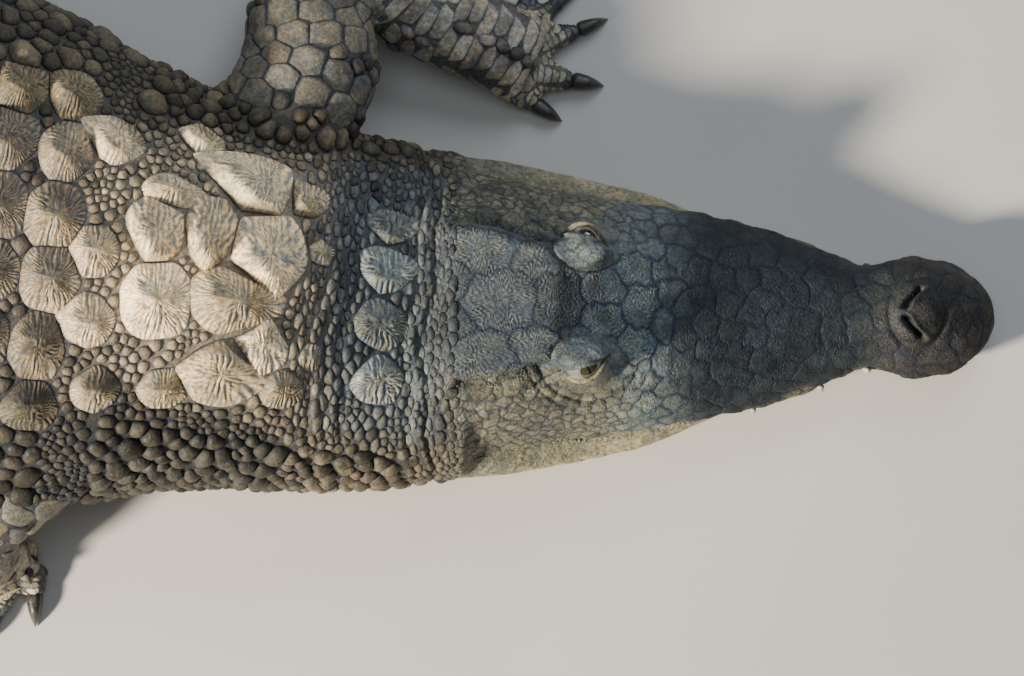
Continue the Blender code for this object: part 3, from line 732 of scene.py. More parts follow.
def labyrinth(points, edges, way, turns, near_steps, far_steps):
    """Winding ridges drawn out along way, of -1 to 1: near points agree, farther ones oppose."""
    count = len(points)
    a, b = edges.T
    line = unit(points[b] - points[a])
    weight = 0.08 + 0.92 * np.sum(line * (way[a] + way[b]) / 2, 1) ** 4
    total = np.bincount(a, weight, count) + np.bincount(b, weight, count) + 1e-9

    def blur(values, steps):
        for _ in range(steps):
            pull = np.bincount(a, weight * values[b], count) + np.bincount(b, weight * values[a], count)
            values = 0.5 * values + 0.5 * pull / total
        return values

    x = rng.normal(0, 1, count)
    for _ in range(turns):
        close = blur(x, near_steps)
        x = close - blur(close, far_steps)
        x = np.tanh(1.6 * x / max(x.std(), 1e-9))
    return blur(x, 1)


def plate_borders(points, seeds, half_long, half_wide):
    """For each point: its plate, the plate beyond the nearest border, and how far that border is."""
    turn = np.stack([waves(points, 0.020, seed) for seed in (31, 32, 33)], 1) * 0.0021
    moved = points + turn
    owner, other = np.zeros((2, len(points)), int)
    border = np.zeros(len(points))
    # In slices from front to back, each with the seeds that can reach it
    order = np.argsort(points[:, 0])
    for i in range(0, len(order), 8000):
        mine = order[i:i + 8000]
        close = np.flatnonzero((seeds[:, 0] > points[mine[0], 0] - 0.065)
                               & (seeds[:, 0] < points[mine[-1], 0] + 0.065))
        offset = moved[mine, None] - seeds[None, close]
        far = np.sqrt((offset[:, :, 0] / half_long[close]) ** 2
                      + (offset[:, :, 1] / half_wide[close]) ** 2
                      + (offset[:, :, 2] / half_wide[close]) ** 2)
        two = np.argpartition(far, 1, axis=1)[:, :2]
        pair = np.take_along_axis(far, two, 1)
        turned = pair[:, 0] > pair[:, 1]
        two[turned] = two[turned][:, ::-1]
        owner[mine], other[mine] = close[two].T
        border[mine] = np.abs(pair[:, 0] - pair[:, 1]) / 2 * np.minimum(half_long, half_wide)[owner[mine]]
    return owner, other, border


# The skin between the scales is darkened partly as painted shade in the grooves
BARE_GAP = 0.60             # darkness of the skin between the scales


def plate_seeds(here, gap):
    """Middles and half-sizes of the head's plates: the table's listed, then others by chance."""
    table = [head_height(u0, v0) for u0, v0, *_ in TABLE_PLATES]
    fixed = np.array([place(u0, v0, z0) for (u0, v0, *_), z0 in zip(TABLE_PLATES, table)])
    reach = np.array([plate[2:] for plate in TABLE_PLATES])
    some = rng.random(len(here)) < 0.12
    spots, own_gap = here[some], gap[some]
    free = np.ones(len(spots), bool)
    for centre, (long, wide) in zip(fixed, reach):
        far = np.hypot((spots[:, 0] - centre[0]) / (long + 0.006),
                       (spots[:, 1] - centre[1]) / (wide + 0.006))
        free &= ~((far < 1) & (spots[:, 2] > 0.10))
    spots, own_gap = spots[free], own_gap[free]
    gaps = np.concatenate([np.full(len(fixed), 0.01), own_gap])
    chosen = spread(np.vstack([fixed, spots]), gaps, len(fixed)) - len(fixed)
    stretch = rng.uniform(0.88, 1.15, len(chosen))
    return (np.vstack([fixed, spots[chosen]]),
            np.concatenate([reach[:, 0], own_gap[chosen] * 0.60 * stretch]),
            np.concatenate([reach[:, 1], own_gap[chosen] * 0.60 / stretch]))


def crack_head(obj):
    """Cuts the head's skin into plates by cracks, with winding ridges on them. Gives the marks."""
    points, normals, edges = read_points(obj.data), read_normals(obj.data), read_edges(obj.data)
    s, v = along_body(points)
    on_head = np.flatnonzero((s < 0.54) & (np.abs(v) < 0.17))
    here, facing = points[on_head], normals[on_head]
    u, av, z = s[on_head], np.abs(v[on_head]), here[:, 2]
    above = z > mouth_at(np.clip(u, 0, 0.52))
    f = av / upper_half(np.clip(u, 0, 0.52))
    lids = 1 - smooth(0.90, 1.10, eye_distance(u, av))
    whole = np.clip(1 - smooth(0.95, 1.15, np.hypot((u - 0.073) / 0.0255, av / 0.0315)), 0, 1)
    cheek = above & (f > 0.30 + 0.34 * smooth(0.36, 0.41, u)) & (u > 0.335) & (z < 0.150)
    gap = np.select([~above & (facing[:, 2] < -0.4), ~above, above & (eye_distance(u, av) < 1.5), cheek,
                     u < 0.05, u < 0.115, (u < 0.40) & (f > 0.86), (u < 0.40) & (f > 0.66), u < 0.33],
                    [0.016, 0.018, 0.0110, 0.0084, 0.014, 0.017, 0.013, 0.016, 0.0195], 0.0150)
    seeds, half_long, half_wide = plate_seeds(here, gap)
    owner, other, border = plate_borders(here, seeds, half_long, half_wide)
    by_hand = len(TABLE_PLATES)
    tabled = owner < by_hand
    # The snout's plates stand in groups, with a bolder crack round each group
    leads = seeds[by_hand + spread(seeds[by_hand:], np.full(len(seeds) - by_hand, 0.036), 0)]
    group = np.linalg.norm(seeds[:, None] - leads[None], axis=2).argmin(1)
    group[:by_hand] = -1 - np.arange(by_hand)
    bold = (group[owner] != group[other]) & above & (u < 0.42) & ~cheek
    kinds = [lids > 0.5, tabled, ~above, cheek, bold]
    strength = np.select(kinds, [0.0, 0.72, 0.10, 0.55, 0.70], 0.26)
    width = np.select(kinds, [0.0010, 0.0012, 0.0014, 0.0009, 0.0015], 0.0009)
    crack = np.exp(-(border / width) ** 2) * strength
    crack *= (1 - 0.9 * whole) * (1 - 0.95 * lids) * (1 - smooth(0.49, 0.52, u))
    # Ridges run out from each plate's middle, and lengthwise on the lower jaw
    index = np.full(len(points), -1)
    index[on_head] = np.arange(len(on_head))
    both = (index[edges[:, 0]] >= 0) & (index[edges[:, 1]] >= 0)
    way = np.where(above[:, None], unit(here - seeds[owner]), (1.0, 0, 0))
    ridge = labyrinth(here, index[edges[both]], way, 14, 3, 12)
    ridge *= 0.72 + 0.40 * waves(here, 0.030, 36)
    crown = smooth(0.29, 0.36, u) * above * ~cheek
    ridge_depth = np.where(above, 0.00018 + 0.00016 * crown, 0.00050)
    ridge_depth = np.where(tabled & (u > 0.38), 0.00040, ridge_depth)
    show = np.where(tabled, 0.85, np.where(above, 0.42 + 0.25 * crown, 0.34))
    ridge_depth, show = ridge_depth * (1 - 0.45 * lids), show * (1 - 0.30 * lids)
    level = smooth(0.0, 0.006, border)
    lift = (0.0003 * level * (1 - lids) * (1 - whole) * above
            - crack * np.where(tabled, 0.0006, 0.0007) + ridge * ridge_depth)
    lift *= 1 - smooth(0.505, 0.535, u)
    moved = points.copy()
    moved[on_head] += facing * lift[:, None]
    moved[:, 2] = np.maximum(moved[:, 2], OVER_FLOOR)
    write_points(obj.data, moved)
    marks = {"ridge": np.zeros(len(points)), "gap": np.full(len(points), BARE_GAP),
             "tone": np.zeros(len(points)), "rim": np.ones(len(points))}
    tones = rng.normal(0, 0.8, len(seeds)).clip(-1.6, 1.6)
    fade = smooth(0.492, 0.508, u)
    marks["ridge"][on_head] = ridge * show * (1 - fade)
    marks["gap"][on_head] = np.clip(crack, 0, 1) * (1 - fade) + BARE_GAP * fade
    marks["tone"][on_head] = tones[owner] * (1 - fade) * (1 - lids) * above
    rim = np.where(above, np.clip(1 - border / np.minimum(0.010, 0.42 * gap), 0, 1), 0.45)
    marks["rim"][on_head] = rim * (1 - fade) + 0.8 * fade
    return marks


class Skin:
    """The finished skin, for finding the place on it nearest to a point."""

    def __init__(self, obj):
        mesh = obj.data
        self.points, self.normals = read_points(mesh), read_normals(mesh)
        mesh.calc_loop_triangles()
        corners = np.empty(len(mesh.loop_triangles) * 3, np.int32)
        mesh.loop_triangles.foreach_get("vertices", corners)
        self.tris = corners.reshape(-1, 3)
        self.tree = BVHTree.FromPolygons(self.points.tolist(), self.tris.tolist())

    def nearest(self, points):
        found = [self.tree.find_nearest(p) for p in points.tolist()]
        return np.array([f[0][:] for f in found]), np.array([f[2] for f in found])

    def seat(self, points):
        """Places on the skin nearest to the points, with level normals."""
        near, tri = self.nearest(points)
        return near, unit(self.normals[self.tris[tri]].mean(1))

    def scatter(self, gap):
        """Random places on the skin, several for each scale that will fit there."""
        a, b, c = (self.points[self.tris[:, k]] for k in range(3))
        area = np.linalg.norm(np.cross(b - a, c - a), axis=1) / 2
        count = np.floor(area * 6.5 / gap**2 + rng.random(len(area))).astype(int)
        index = np.repeat(np.arange(len(area)), count)
        u, w = rng.random((2, len(index)))
        over = u + w > 1
        u[over], w[over] = 1 - u[over], 1 - w[over]
        share = np.stack([1 - u - w, u, w], 1)[:, :, None]
        corner = self.tris[index]
        return (self.points[corner] * share).sum(1), unit((self.normals[corner] * share).sum(1))


# ---------------------------------------------------------------- laying out the scales
# Shields of the neck: s, v, half-length, half-width, height of the keel, its place across (-1 to 1)
NECK_SHIELDS = [
    (0.552, 0.068, 0.026, 0.019, 0.0070, 0.55), (0.556, 0.027, 0.027, 0.022, 0.0060, 0.35),
    (0.560, -0.022, 0.027, 0.024, 0.0060, -0.25), (0.562, -0.071, 0.026, 0.023, 0.0070, -0.35),
    (0.679, 0.090, 0.044, 0.029, 0.022, 0.72), (0.636, 0.084, 0.021, 0.018, 0.014, 0.60),
    (0.664, 0.027, 0.035, 0.038, 0.016, 0.42), (0.719, 0.038, 0.024, 0.031, 0.022, 0.74),
    (0.766, 0.031, 0.027, 0.029, 0.022, 0.74), (0.686, -0.019, 0.040, 0.030, 0.013, -0.02),
    (0.757, -0.029, 0.029, 0.033, 0.013, -0.02), (0.757, 0.070, 0.025, 0.015, 0.009, 0.0),
    (0.661, -0.054, 0.024, 0.023, 0.011, -0.65), (0.694, -0.084, 0.039, 0.028, 0.021, -0.74),
    (0.640, -0.091, 0.019, 0.017, 0.011, -0.45), (0.741, -0.106, 0.021, 0.019, 0.013, -0.2),
    (0.619, -0.058, 0.011, 0.012, 0.005, 0.0), (0.617, 0.036, 0.013, 0.012, 0.005, 0.0),
    (0.797, -0.116, 0.021, 0.019, 0.013, -0.2), (0.815, 0.106, 0.025, 0.022, 0.018, 0.5),
    (0.741, 0.124, 0.019, 0.016, 0.012, 0.4), (0.812, -0.060, 0.022, 0.022, 0.012, 0.0),
    (0.816, 0.004, 0.020, 0.022, 0.011, 0.0)]
ROW_PITCH = 0.050
# Rows of the back's shields: v, height of the keel, half-width
BACK_ROWS = [(0.028, 0.0112, 0.030), (0.090, 0.0150, 0.030), (0.142, 0.0150, 0.026)]

TINY, BEAD, GRAIN, FLAT, SHIELD, BACK, CONE, BAND, TAIL, CREST = range(10)
# For each kind: rise for its size, how flat, corner sharpness, lift of the rear edge, groove, roughness
LOOK = {TINY: (0.22, 3.0, 9, 0.06, 0.0001, 0.0001), BEAD: (0.92, 2.1, 9, 0.12, 0.0001, 0.0005),
        GRAIN: (0.62, 2.3, 9, 0.10, 0.0001, 0.0003), FLAT: (0.08, 8, 16, 0.03, 0.0004, 0.0002),
        SHIELD: (0.10, 11, 20, 0.05, 0.0010, 0.0006), BACK: (0.12, 8, 16, 0.08, 0.0007, 0.0005),
        CONE: (0.46, 2.4, 8, 0.08, 0.0002, 0.0006), BAND: (0.13, 7.0, 22, 0.10, 0.0003, 0.0004),
        TAIL: (0.07, 8, 16, 0.06, 0.0004, 0.0003), CREST: (0.06, 6, 14, 0.00, 0.0002, 0.0004)}
SINGLE_CREST_FROM = 2.50
LARGE, SMALL = 0.0125, 0.006        # half-sizes that part large, middling and small scales

# Columns of a layout's table: a scale's middle, axes, half-sizes, kind, and its keel's height and place
CENTRE, NORMAL, ALONG, ACROSS = slice(0, 3), slice(3, 6), slice(6, 9), slice(9, 12)
LONG, WIDE, KIND, KEEL, OFF = range(12, 17)


class Layout:
    """Rows of numbers for the scales, in the columns above."""

    def __init__(self):
        self.rows = []

    def add(self, centre, normal, along, half_long, half_wide, kind, keel=0.0, off=0.0):
        along = unit(along - normal * np.sum(along * normal, -1, keepdims=True))
        numbers = [np.broadcast_to(np.asarray(x, float), len(centre))[:, None]
                   for x in (half_long, half_wide, kind, keel, off)]
        self.rows.append(np.hstack([centre, normal, along, np.cross(normal, along), *numbers]))

    def table(self):
        return np.vstack(self.rows)


def tailward(s):
    angle = np.radians(heading_at(s))
    return np.stack([-np.cos(angle), np.sin(angle), np.zeros_like(angle)], -1)


def back_shields():
    """The trunk's keeled shields: s, v, half-length, half-width, keel and its place across."""
    found = []
    for s in np.arange(0.855, 1.665, ROW_PITCH):
        for row, (v, keel, wide) in enumerate(BACK_ROWS):
            if v > 0.72 * half_width(s):
                continue
            keel = keel * (1 - 0.45 * smooth(1.35, 1.65, s) * (row > 0))
            for side in (1, -1):
                found.append((s + 0.003 * side + rng.uniform(-0.003, 0.003),
                              side * (v + rng.uniform(-0.003, 0.003)),
                              0.0255 * rng.uniform(0.95, 1.04), wide * rng.uniform(0.93, 1.05),
                              keel, 0.30 * side * (row > 0)))
    return found


def crest_height(s):
    """The double crest rises towards the place where it becomes single, then sinks to the tip."""
    return 0.022 + 0.030 * smooth(1.65, 2.45, s) - 0.030 * smooth(2.6, 3.45, s)


def tail_seeds(layout, skin):
    """Whorls of oblong scales round the tail under its crests: two rows that join into one."""
    for s in np.arange(1.675, 3.44, ROW_PITCH):
        out = min(0.30 * float(half_width(s)), 0.050) if s <= SINGLE_CREST_FROM else 0.0
        wide = min(0.0105, 0.36 * float(half_width(s)))
        v = np.array([out, -out]) if out else np.array([0.0])
        spot, normal = skin.seat(place(s, v, back_at(s, v)))
        layout.add(spot, normal, np.tile(tailward(s), (len(v), 1)), 0.0255, wide, CREST,
                   crest_height(s) - 0.002)
        # Even steps round the tail's section
        turn = np.linspace(0, 2 * pi, 361)
        v, z = body_section(s, turn)
        run = run_of(np.stack([v, z], 1))
        count = max(6, int(round(run[-1] / 0.040 / 2) * 2))
        girth = run[-1] / count
        angle = np.interp((np.arange(count) + 0.5) * girth, run, turn)
        v, z = body_section(s, angle)
        free = (z < widest_at(s)) | (np.abs(v) > out + wide + 0.25 * girth)
        spot, normal = skin.seat(place(s + 0.001 * np.sin(angle * 3), v, z)[free])
        layout.add(spot, normal, np.tile(tailward(s), (len(spot), 1)), ROW_PITCH * 0.56, girth * 0.60, TAIL)
        if out - wide > 0.006:
            spot, normal = skin.seat(place(s, np.array([0.0]), back_at(s, 0.0)))
            layout.add(spot, normal, tailward(np.array([s])), ROW_PITCH * 0.56, (out - wide) * 1.1, TAIL)


def belly_seeds(layout, skin):
    """Flat scales in straight rows under throat, trunk and the tail's root."""
    for row, s in enumerate(np.arange(0.60, 1.665, 0.034)):
        half = half_width(s) * 0.80
        count = int(half / 0.017)
        v = (np.arange(-count, count + 1) + 0.5 * (row % 2)) * 0.034
        v = v[np.abs(v) < half]
        spot, normal = skin.seat(place(s, v, np.full(len(v), 0.0)))
        keep = normal[:, 2] < -0.55
        layout.add(spot[keep], normal[keep], np.tile(tailward(s), (keep.sum(), 1)), 0.019, 0.019, FLAT)


def limb_seeds(layout, skin):
    """Bands of overlapping scales round each limb, and across each toe."""
    for name, line in LIMB_LINES.items():
        length = run_of(line[:, :3])
        at, row = 0.03, 0
        while at < length[-1] + 0.010:
            share = at / length[-1]
            lower = smooth(0.42, 0.58, share)
            pitch = 0.0225 - 0.0095 * lower
            knot = [np.interp(at, length, line[:, k]) for k in range(5)]
            way = unit(np.array([np.interp(at, length, np.gradient(line[:, k])) for k in range(3)]))
            across = unit(np.cross((0, 0, 1), way))
            up = np.cross(way, across)
            girth = 2 * pi * (knot[3] + knot[4]) / 2
            count = max(6, int(girth / (pitch * (1.30 + 1.60 * lower))))
            turn_by = (np.arange(count) + (0.5 - 0.36 * lower) * (row % 2)) / count * 2 * pi
            ring = (np.array(knot[:3]) + across * np.cos(turn_by)[:, None] * knot[3]
                    + up * np.sin(turn_by)[:, None] * knot[4])
            if at > length[-1]:
                ring += way * (at - length[-1])
            spot, normal = skin.seat(ring)
            close = np.linalg.norm(spot - ring, axis=1) < 0.010
            layout.add(spot[close], normal[close], np.tile(way, (close.sum(), 1)),
                       pitch * 0.60, girth / count * 0.60, BAND)
            at += pitch
            row += 1
        for digit in range(len(LIMBS[name][3])):
            start, flesh, _, way, radius, _ = toe_line(name, digit)
            reach = np.linalg.norm(flesh - start)
            across = np.array([-way[1], way[0], 0])
            step = 0.0072
            for t in np.arange(0.004, reach - 0.001, step):
                middle = start + way * t + (0, 0, radius * TOE_HEIGHT)
                width = radius * (1 - 0.18 * t / reach)
                for angle, wide, kind_of in ((90, 0.72, BAND), (18, 0.42, BAND), (162, 0.42, BAND)):
                    point = (middle + across * width * cos(radians(angle))
                             + np.array([0, 0, width * sin(radians(angle))]))[None]
                    spot, normal = skin.seat(point)
                    if np.linalg.norm(spot - point) < 0.006:
                        layout.add(spot, normal, way[None], step * 0.60, width * wide, kind_of)


def cone_seeds(layout, skin):
    """Large domed scales in loose rows down the flanks."""
    for side in (1, -1):
        for row, lift in enumerate((62, 40, 18, -4)):
            for s in np.arange(0.70 + 0.019 * (row % 2), 1.62, 0.038):
                if row == 3 and s < 0.86 or rng.random() < 0.10:
                    continue
                angle = radians(lift) + rng.uniform(-0.10, 0.10)
                at = s + rng.uniform(-0.006, 0.006)
                v, z = body_section(at, np.array([angle]))
                if row == 0 and at > 1.35:
                    continue
                if side * v[0] > 0.60 * half_width(at) or row == 0:
                    point = place(at, side * v, z)
                    spot, normal = skin.seat(point)
                    size = rng.uniform(0.0125, 0.0175) * (1 - 0.15 * row / 3)
                    layout.add(spot, normal, tailward(np.array([at])), size * 1.05, size, CONE, size * 0.22)


def taper(y, off):
    """How far a shield narrows towards the side its keel stands on, from 1."""
    return 1 - 0.46 * np.clip(y * off, 0, 1)


def small_scales(points, normals, s, v, limb, toe):
    """Gap, length and width for the gap, kind, and where no scale goes, for the scattered scales."""
    z, av, up = points[:, 2], np.abs(v), normals[:, 2]
    head = limb < 0
    wide = half_width(np.clip(s, 0.5, 3.5))
    rules = [
        (toe >= 0, 0.0078, 1.0, 1.0, TINY),
        (limb >= 0, 0.0130, 1.0, 1.0, GRAIN),
        (head & (s < 0.495), 0.0200, 1.0, 1.0, -1),
        (up < -0.45, 0.0200, 1.0, 1.0, FLAT),
        ((s < 0.533) & (z > 0.04), 0.0074, 0.72, 1.25, GRAIN),
        ((s < 0.592) & (av < 0.12), 0.0076, 0.80, 1.15, GRAIN),
        ((s < 0.635) & (av < 0.13), 0.0074, 0.72, 1.25, GRAIN),
        ((s < 0.80) & (av > 0.135), 0.0125, 1.0, 1.0, BEAD),
        (s < NECK_END, 0.0074, 1.0, 1.0, GRAIN),
        ((s < 1.00) & (av < 0.66 * wide), 0.0092, 1.0, 1.0, GRAIN),
        ((s < TRUNK_END) & (av < 0.66 * wide), 0.0125, 1.0, 1.0, GRAIN),
        (s < TRUNK_END, 0.0138, 1.0, 1.0, GRAIN),
        (s < 9, 0.0300, 1.0, 1.0, -1)]
    index = np.select([rule[0] for rule in rules], range(len(rules)))
    values = np.array([rule[1:] for rule in rules])[index]
    vary = 1 + 0.26 * waves(points, 0.05, 41) * (limb < 0)
    return values[:, 0] * vary.clip(0.72, 1.35), values[:, 1], values[:, 2], values[:, 3].astype(int)


def lay_out(skin):
    """Every scale, from the listed shields down to the granules between them."""
    layout = Layout()
    for s, v, long, wide, keel, off in NECK_SHIELDS + back_shields():
        if 0.60 < s < NECK_END:
            long, wide = 1.16 * long, 1.16 * wide
        spot, normal = skin.seat(place(s, np.array([v]), np.array([back_at(s, v)])))
        layout.add(spot, normal, tailward(np.array([s])), long, wide,
                   SHIELD if s < NECK_END else BACK, keel, off)
    fixed = layout.table()
    tail_seeds(layout, skin)
    belly_seeds(layout, skin)
    limb_seeds(layout, skin)
    cone_seeds(layout, skin)
    laid = layout.table()
    # Bands are left out where they run under the body, domed scales on limbs and too near a shield
    limb = regions(laid[:, CENTRE])[2]
    coned = laid[:, KIND] == CONE
    keep = np.where(limb < 0, laid[:, KIND] != BAND, ~coned)
    for row in fixed:
        offset = laid[:, CENTRE] - row[CENTRE]
        near = np.hypot(offset @ row[ALONG] / (row[LONG] + 0.010),
                        offset @ row[ACROSS] / (row[WIDE] + 0.010)) < 1
        keep &= ~(near & coned & (np.abs(offset @ row[NORMAL]) < 0.06))
    laid = laid[keep]
    # Scattered scales fill what is left
    middle = skin.points[skin.tris].mean(1)
    normal = unit(skin.normals[skin.tris].mean(1))
    gap, *_ = small_scales(middle, normal, *regions(middle)[:4])
    points, normals = skin.scatter(gap)
    s, v, limb, toe, _, way = regions(points)
    gap, long, wide, kind = small_scales(points, normals, s, v, limb, toe)
    free = kind >= 0
    for row in laid:
        size = max(row[LONG], row[WIDE])
        if size < LARGE and row[KIND] not in (SHIELD, BACK, CREST, CONE):
            continue
        offset = points - row[CENTRE]
        near = np.abs(offset).max(1) < size * 1.6
        offset = offset[near]
        grown = {SHIELD: 1.08, BACK: 1.22}.get(int(row[KIND]), 1.05)
        x, y = offset @ row[ALONG] / (row[LONG] * grown), offset @ row[ACROSS] / (row[WIDE] * grown)
        inside = np.hypot(x / taper(y, row[OFF]), y) < 1
        hit = np.flatnonzero(near)[inside & (np.abs(offset @ row[NORMAL]) < 0.03)]
        free[hit] = False
    points, normals, gap = points[free], normals[free], gap[free]
    long, wide, kind, way = long[free], wide[free], kind[free], way[free]
    held = np.minimum(laid[:, LONG], laid[:, WIDE]) * np.where(laid[:, KIND] == BAND, 1.8, 0.9)
    everything = np.vstack([laid[:, CENTRE], points])
    chosen = spread(everything, np.concatenate([np.minimum(held, 0.03), gap]), len(laid)) - len(laid)
    final = Layout()
    final.rows.append(laid)
    final.add(points[chosen], normals[chosen], way[chosen], gap[chosen] * long[chosen] * 0.60,
              gap[chosen] * wide[chosen] * 0.60, kind[chosen])
    return final.table()


def neighbours(table, count=15):
    """For each scale, the others that crowd it most."""
    centre = table[:, CENTRE]
    size = np.maximum(table[:, LONG], table[:, WIDE])
    order = np.argsort(centre[:, 0])
    xs = centre[order, 0]
    near = np.zeros((len(table), count), int)
    for i in range(0, len(order), 256):
        block = order[i:i + 256]
        low = np.searchsorted(xs, xs[i] - 0.085)
        high = np.searchsorted(xs, xs[min(i + 255, len(order) - 1)] + 0.085)
        pool = order[low:high]
        gap = np.linalg.norm(centre[block, None] - centre[None, pool], axis=2)
        gap = gap / (size[block, None] + size[None, pool])
        gap[block[:, None] == pool[None]] = 99
        near[block] = pool[np.argpartition(gap, count, axis=1)[:, :count]]
    return near


def outlines(table, near, sides, which):
    """Each scale's reach in metres in each direction round it, up to its borders with the others."""
    own = table[which]
    other = table[near[which]]
    offset = other[:, :, CENTRE] - own[:, None, CENTRE]
    p = np.einsum("ijk,ik->ij", offset, own[:, ALONG])
    q = np.einsum("ijk,ik->ij", offset, own[:, ACROSS])
    span = np.hypot(p, q) + 1e-9
    cp, cq = p / span, q / span
    mine = 1 / np.sqrt((cp / own[:, None, LONG]) ** 2 + (cq / own[:, None, WIDE]) ** 2)
    way = cp[:, :, None] * own[:, None, ALONG] + cq[:, :, None] * own[:, None, ACROSS]
    theirs = 1 / np.sqrt((np.einsum("ijk,ijk->ij", way, other[:, :, ALONG]) / other[:, :, LONG]) ** 2
                         + (np.einsum("ijk,ijk->ij", way, other[:, :, ACROSS]) / other[:, :, WIDE]) ** 2
                         + 1e-9)
    lift = np.abs(np.einsum("ijk,ik->ij", offset, own[:, NORMAL]))
    # Round a bend the border is farther off than it looks from above
    apart = 2 / (1 + np.einsum("ijk,ik->ij", other[:, :, NORMAL], own[:, NORMAL]).clip(0, 1))
    apart = np.where(lift > 1.2 * span + 0.004, 9.0, apart)
    border = np.hypot(p / own[:, None, LONG], q / own[:, None, WIDE]) * mine / (mine + theirs) * apart
    angle = np.arctan2(q / own[:, None, WIDE], p / own[:, None, LONG])
    turn = np.arange(sides) * 2 * pi / sides
    sharp = np.array([LOOK[int(kind)][2] for kind in own[:, KIND]])[:, None]
    total = 1.42 ** -sharp * np.ones((len(own), sides))
    for k in range(near.shape[1]):
        facing = np.maximum(0, np.cos(turn[None] - angle[:, k:k + 1]))
        total += (facing / border[:, k:k + 1]) ** sharp
    reach = 1.05 * total ** (-1 / sharp)
    y = reach * np.sin(turn)
    return reach * np.cos(turn) * own[:, LONG, None] * taper(y, own[:, OFF, None]), y * own[:, WIDE, None]


# ---------------------------------------------------------------- colours of the hide
# NOSE, SNOUT and CROWN_GREY are dark and bluish partly as painted shade over the whole head
NOSE, SNOUT, BROW = (0.029, 0.031, 0.034), (0.015, 0.024, 0.034), (0.128, 0.172, 0.200)
# BROW, above, is painted paler than the crown: painted light against the shadow the lids cast on it
CROWN_GREY, CHEEK = (0.052, 0.069, 0.088), (0.155, 0.163, 0.133)
JAW_FRONT, JAW_PALE = (0.065, 0.070, 0.062), (0.175, 0.185, 0.147)
# TAN is partly the neck shields' pale colour, partly painted sunlight on them
NAPE, TAN, BEAD_TAN = (0.182, 0.214, 0.226), (0.780, 0.665, 0.480), (0.160, 0.142, 0.102)
OLIVE, DARK, BELLY = (0.155, 0.145, 0.100), (0.060, 0.060, 0.052), (0.46, 0.42, 0.30)
# The paler limb grey at the end of the next line is painted light, against the body's shadow on the forearm
# and hand
BACK_TAN, LIMB_GREY, FORE_GREY_PAINTED_LIGHT = (0.172, 0.154, 0.132), (0.136, 0.136, 0.128), (0.345, 0.340, 0.326)
SORE, LIMB_TAN, LIMB_DARK = (0.110, 0.048, 0.030), (0.215, 0.188, 0.150), (0.080, 0.096, 0.108)


def hide_colour(points, s, v, limb, toe, far):
    """The markings, with painted shade on the head and right flank and painted light on the brow, neck
    shields and limbs, the same for skin and scales.
    """
    z, av = points[:, 2], np.abs(v)
    u = np.clip(s, 0, 0.52)
    patch = waves(points, 0.16, 21)
    fine = waves(points, 0.045, 22)
    rgb = np.tile(np.array(NOSE), (len(points), 1))

    def paint(colour, share):
        nonlocal rgb
        rgb = rgb + (np.array(colour) - rgb) * np.clip(share, 0, 1)[:, None]

    body = limb < 0
    # Painted shade: snout and crown are painted dark and bluish, partly their own slate colour
    paint(SNOUT, smooth(0.06, 0.16, s))
    # Painted light: the brow before the eyes is painted paler, against the lids' shadow
    paint(BROW, smooth(0.26, 0.34, s))
    paint(CROWN_GREY, smooth(0.335, 0.400, s + 0.02 * fine))
    low_jaw = body * (s < 0.50) * (z < mouth_at(u) + 0.001)
    beside = smooth(0.30, 0.38, s) * smooth(0.052, 0.074, av) * (1 - smooth(0.150, 0.165, z))
    paint(CHEEK, beside * (0.85 + 0.3 * fine))
    spots = smooth(0.35, 0.75, waves(points, 0.013, 27)) * smooth(0.36, 0.42, s) * (s < 0.53)
    paint(DARK, spots * beside * 0.75)
    paint(JAW_FRONT, low_jaw)
    paint(JAW_PALE, low_jaw * smooth(0.13, 0.26, s) * (0.85 + 0.3 * fine))
    # Neck and back: slate behind the skull, a bright tan on the shields that is partly painted sunlight,
    # browner down the flanks
    paint(NAPE, smooth(0.49, 0.53, s) * (0.9 + 0.2 * fine))
    paint(BEAD_TAN, smooth(0.47, 0.52, s) * smooth(0.105, 0.14, av))
    back = smooth(0.585, 0.655, s)
    # Painted sunlight, partly: the bright tan of the neck shields
    paint(TAN, back * (0.85 + 0.25 * patch))
    paint(BACK_TAN, smooth(0.77, 0.88, s + 0.02 * fine))
    paint(BEAD_TAN, back * smooth(0.105, 0.140, av + 0.012 * fine))
    # Painted shade: darker down the flanks, and on the right flank darker still and from nearer the back's
    # middle
    paint(DARK, back * smooth(0.13, 0.24, av + 0.085 * (v < 0)) * (0.42 + 0.3 * fine + 0.50 * (v < 0)))
    # A healed sore on the right of the back
    sore = np.hypot(s - 0.853, v + 0.062)
    paint(SORE, 0.8 * (1 - smooth(0.006, 0.014, sore + 0.003 * fine)))
    paint(OLIVE, smooth(0.95, 1.25, s) * 0.55)
    # Broken dark bars over back and tail
    bars = smooth(0.25, 0.85, np.sin(s * 2 * pi / 0.21 + 1.5 * patch)) * smooth(1.0, 1.5, s)
    paint(DARK, bars * 0.62 * (0.7 + 0.3 * fine))
    paint(LIMB_GREY, limb >= 0)
    # Painted light: the limbs are painted paler from a little way down, less on the toes, against the
    # body's shadow
    paint(FORE_GREY_PAINTED_LIGHT, (limb >= 0) * smooth(0.16, 0.30, far) * (1 - 0.80 * (toe >= 0)))
    arm = (limb >= 0) * (toe < 0)
    paint(LIMB_TAN, arm * smooth(0.1, 0.8, waves(points, 0.045, 24)) * 0.65)
    paint(LIMB_DARK, (limb >= 0) * smooth(0.1, 0.8, waves(points, 0.038, 23)) * 0.60)
    low = 1 - smooth(0.012, 0.055, z + 0.008 * fine)
    paint(BELLY, low * body * smooth(0.05, 0.20, s) * 0.85)
    paint(BELLY, low * arm * 0.35)
    return np.clip(rgb * (1 + 0.07 * fine)[:, None], 0.01, 1)


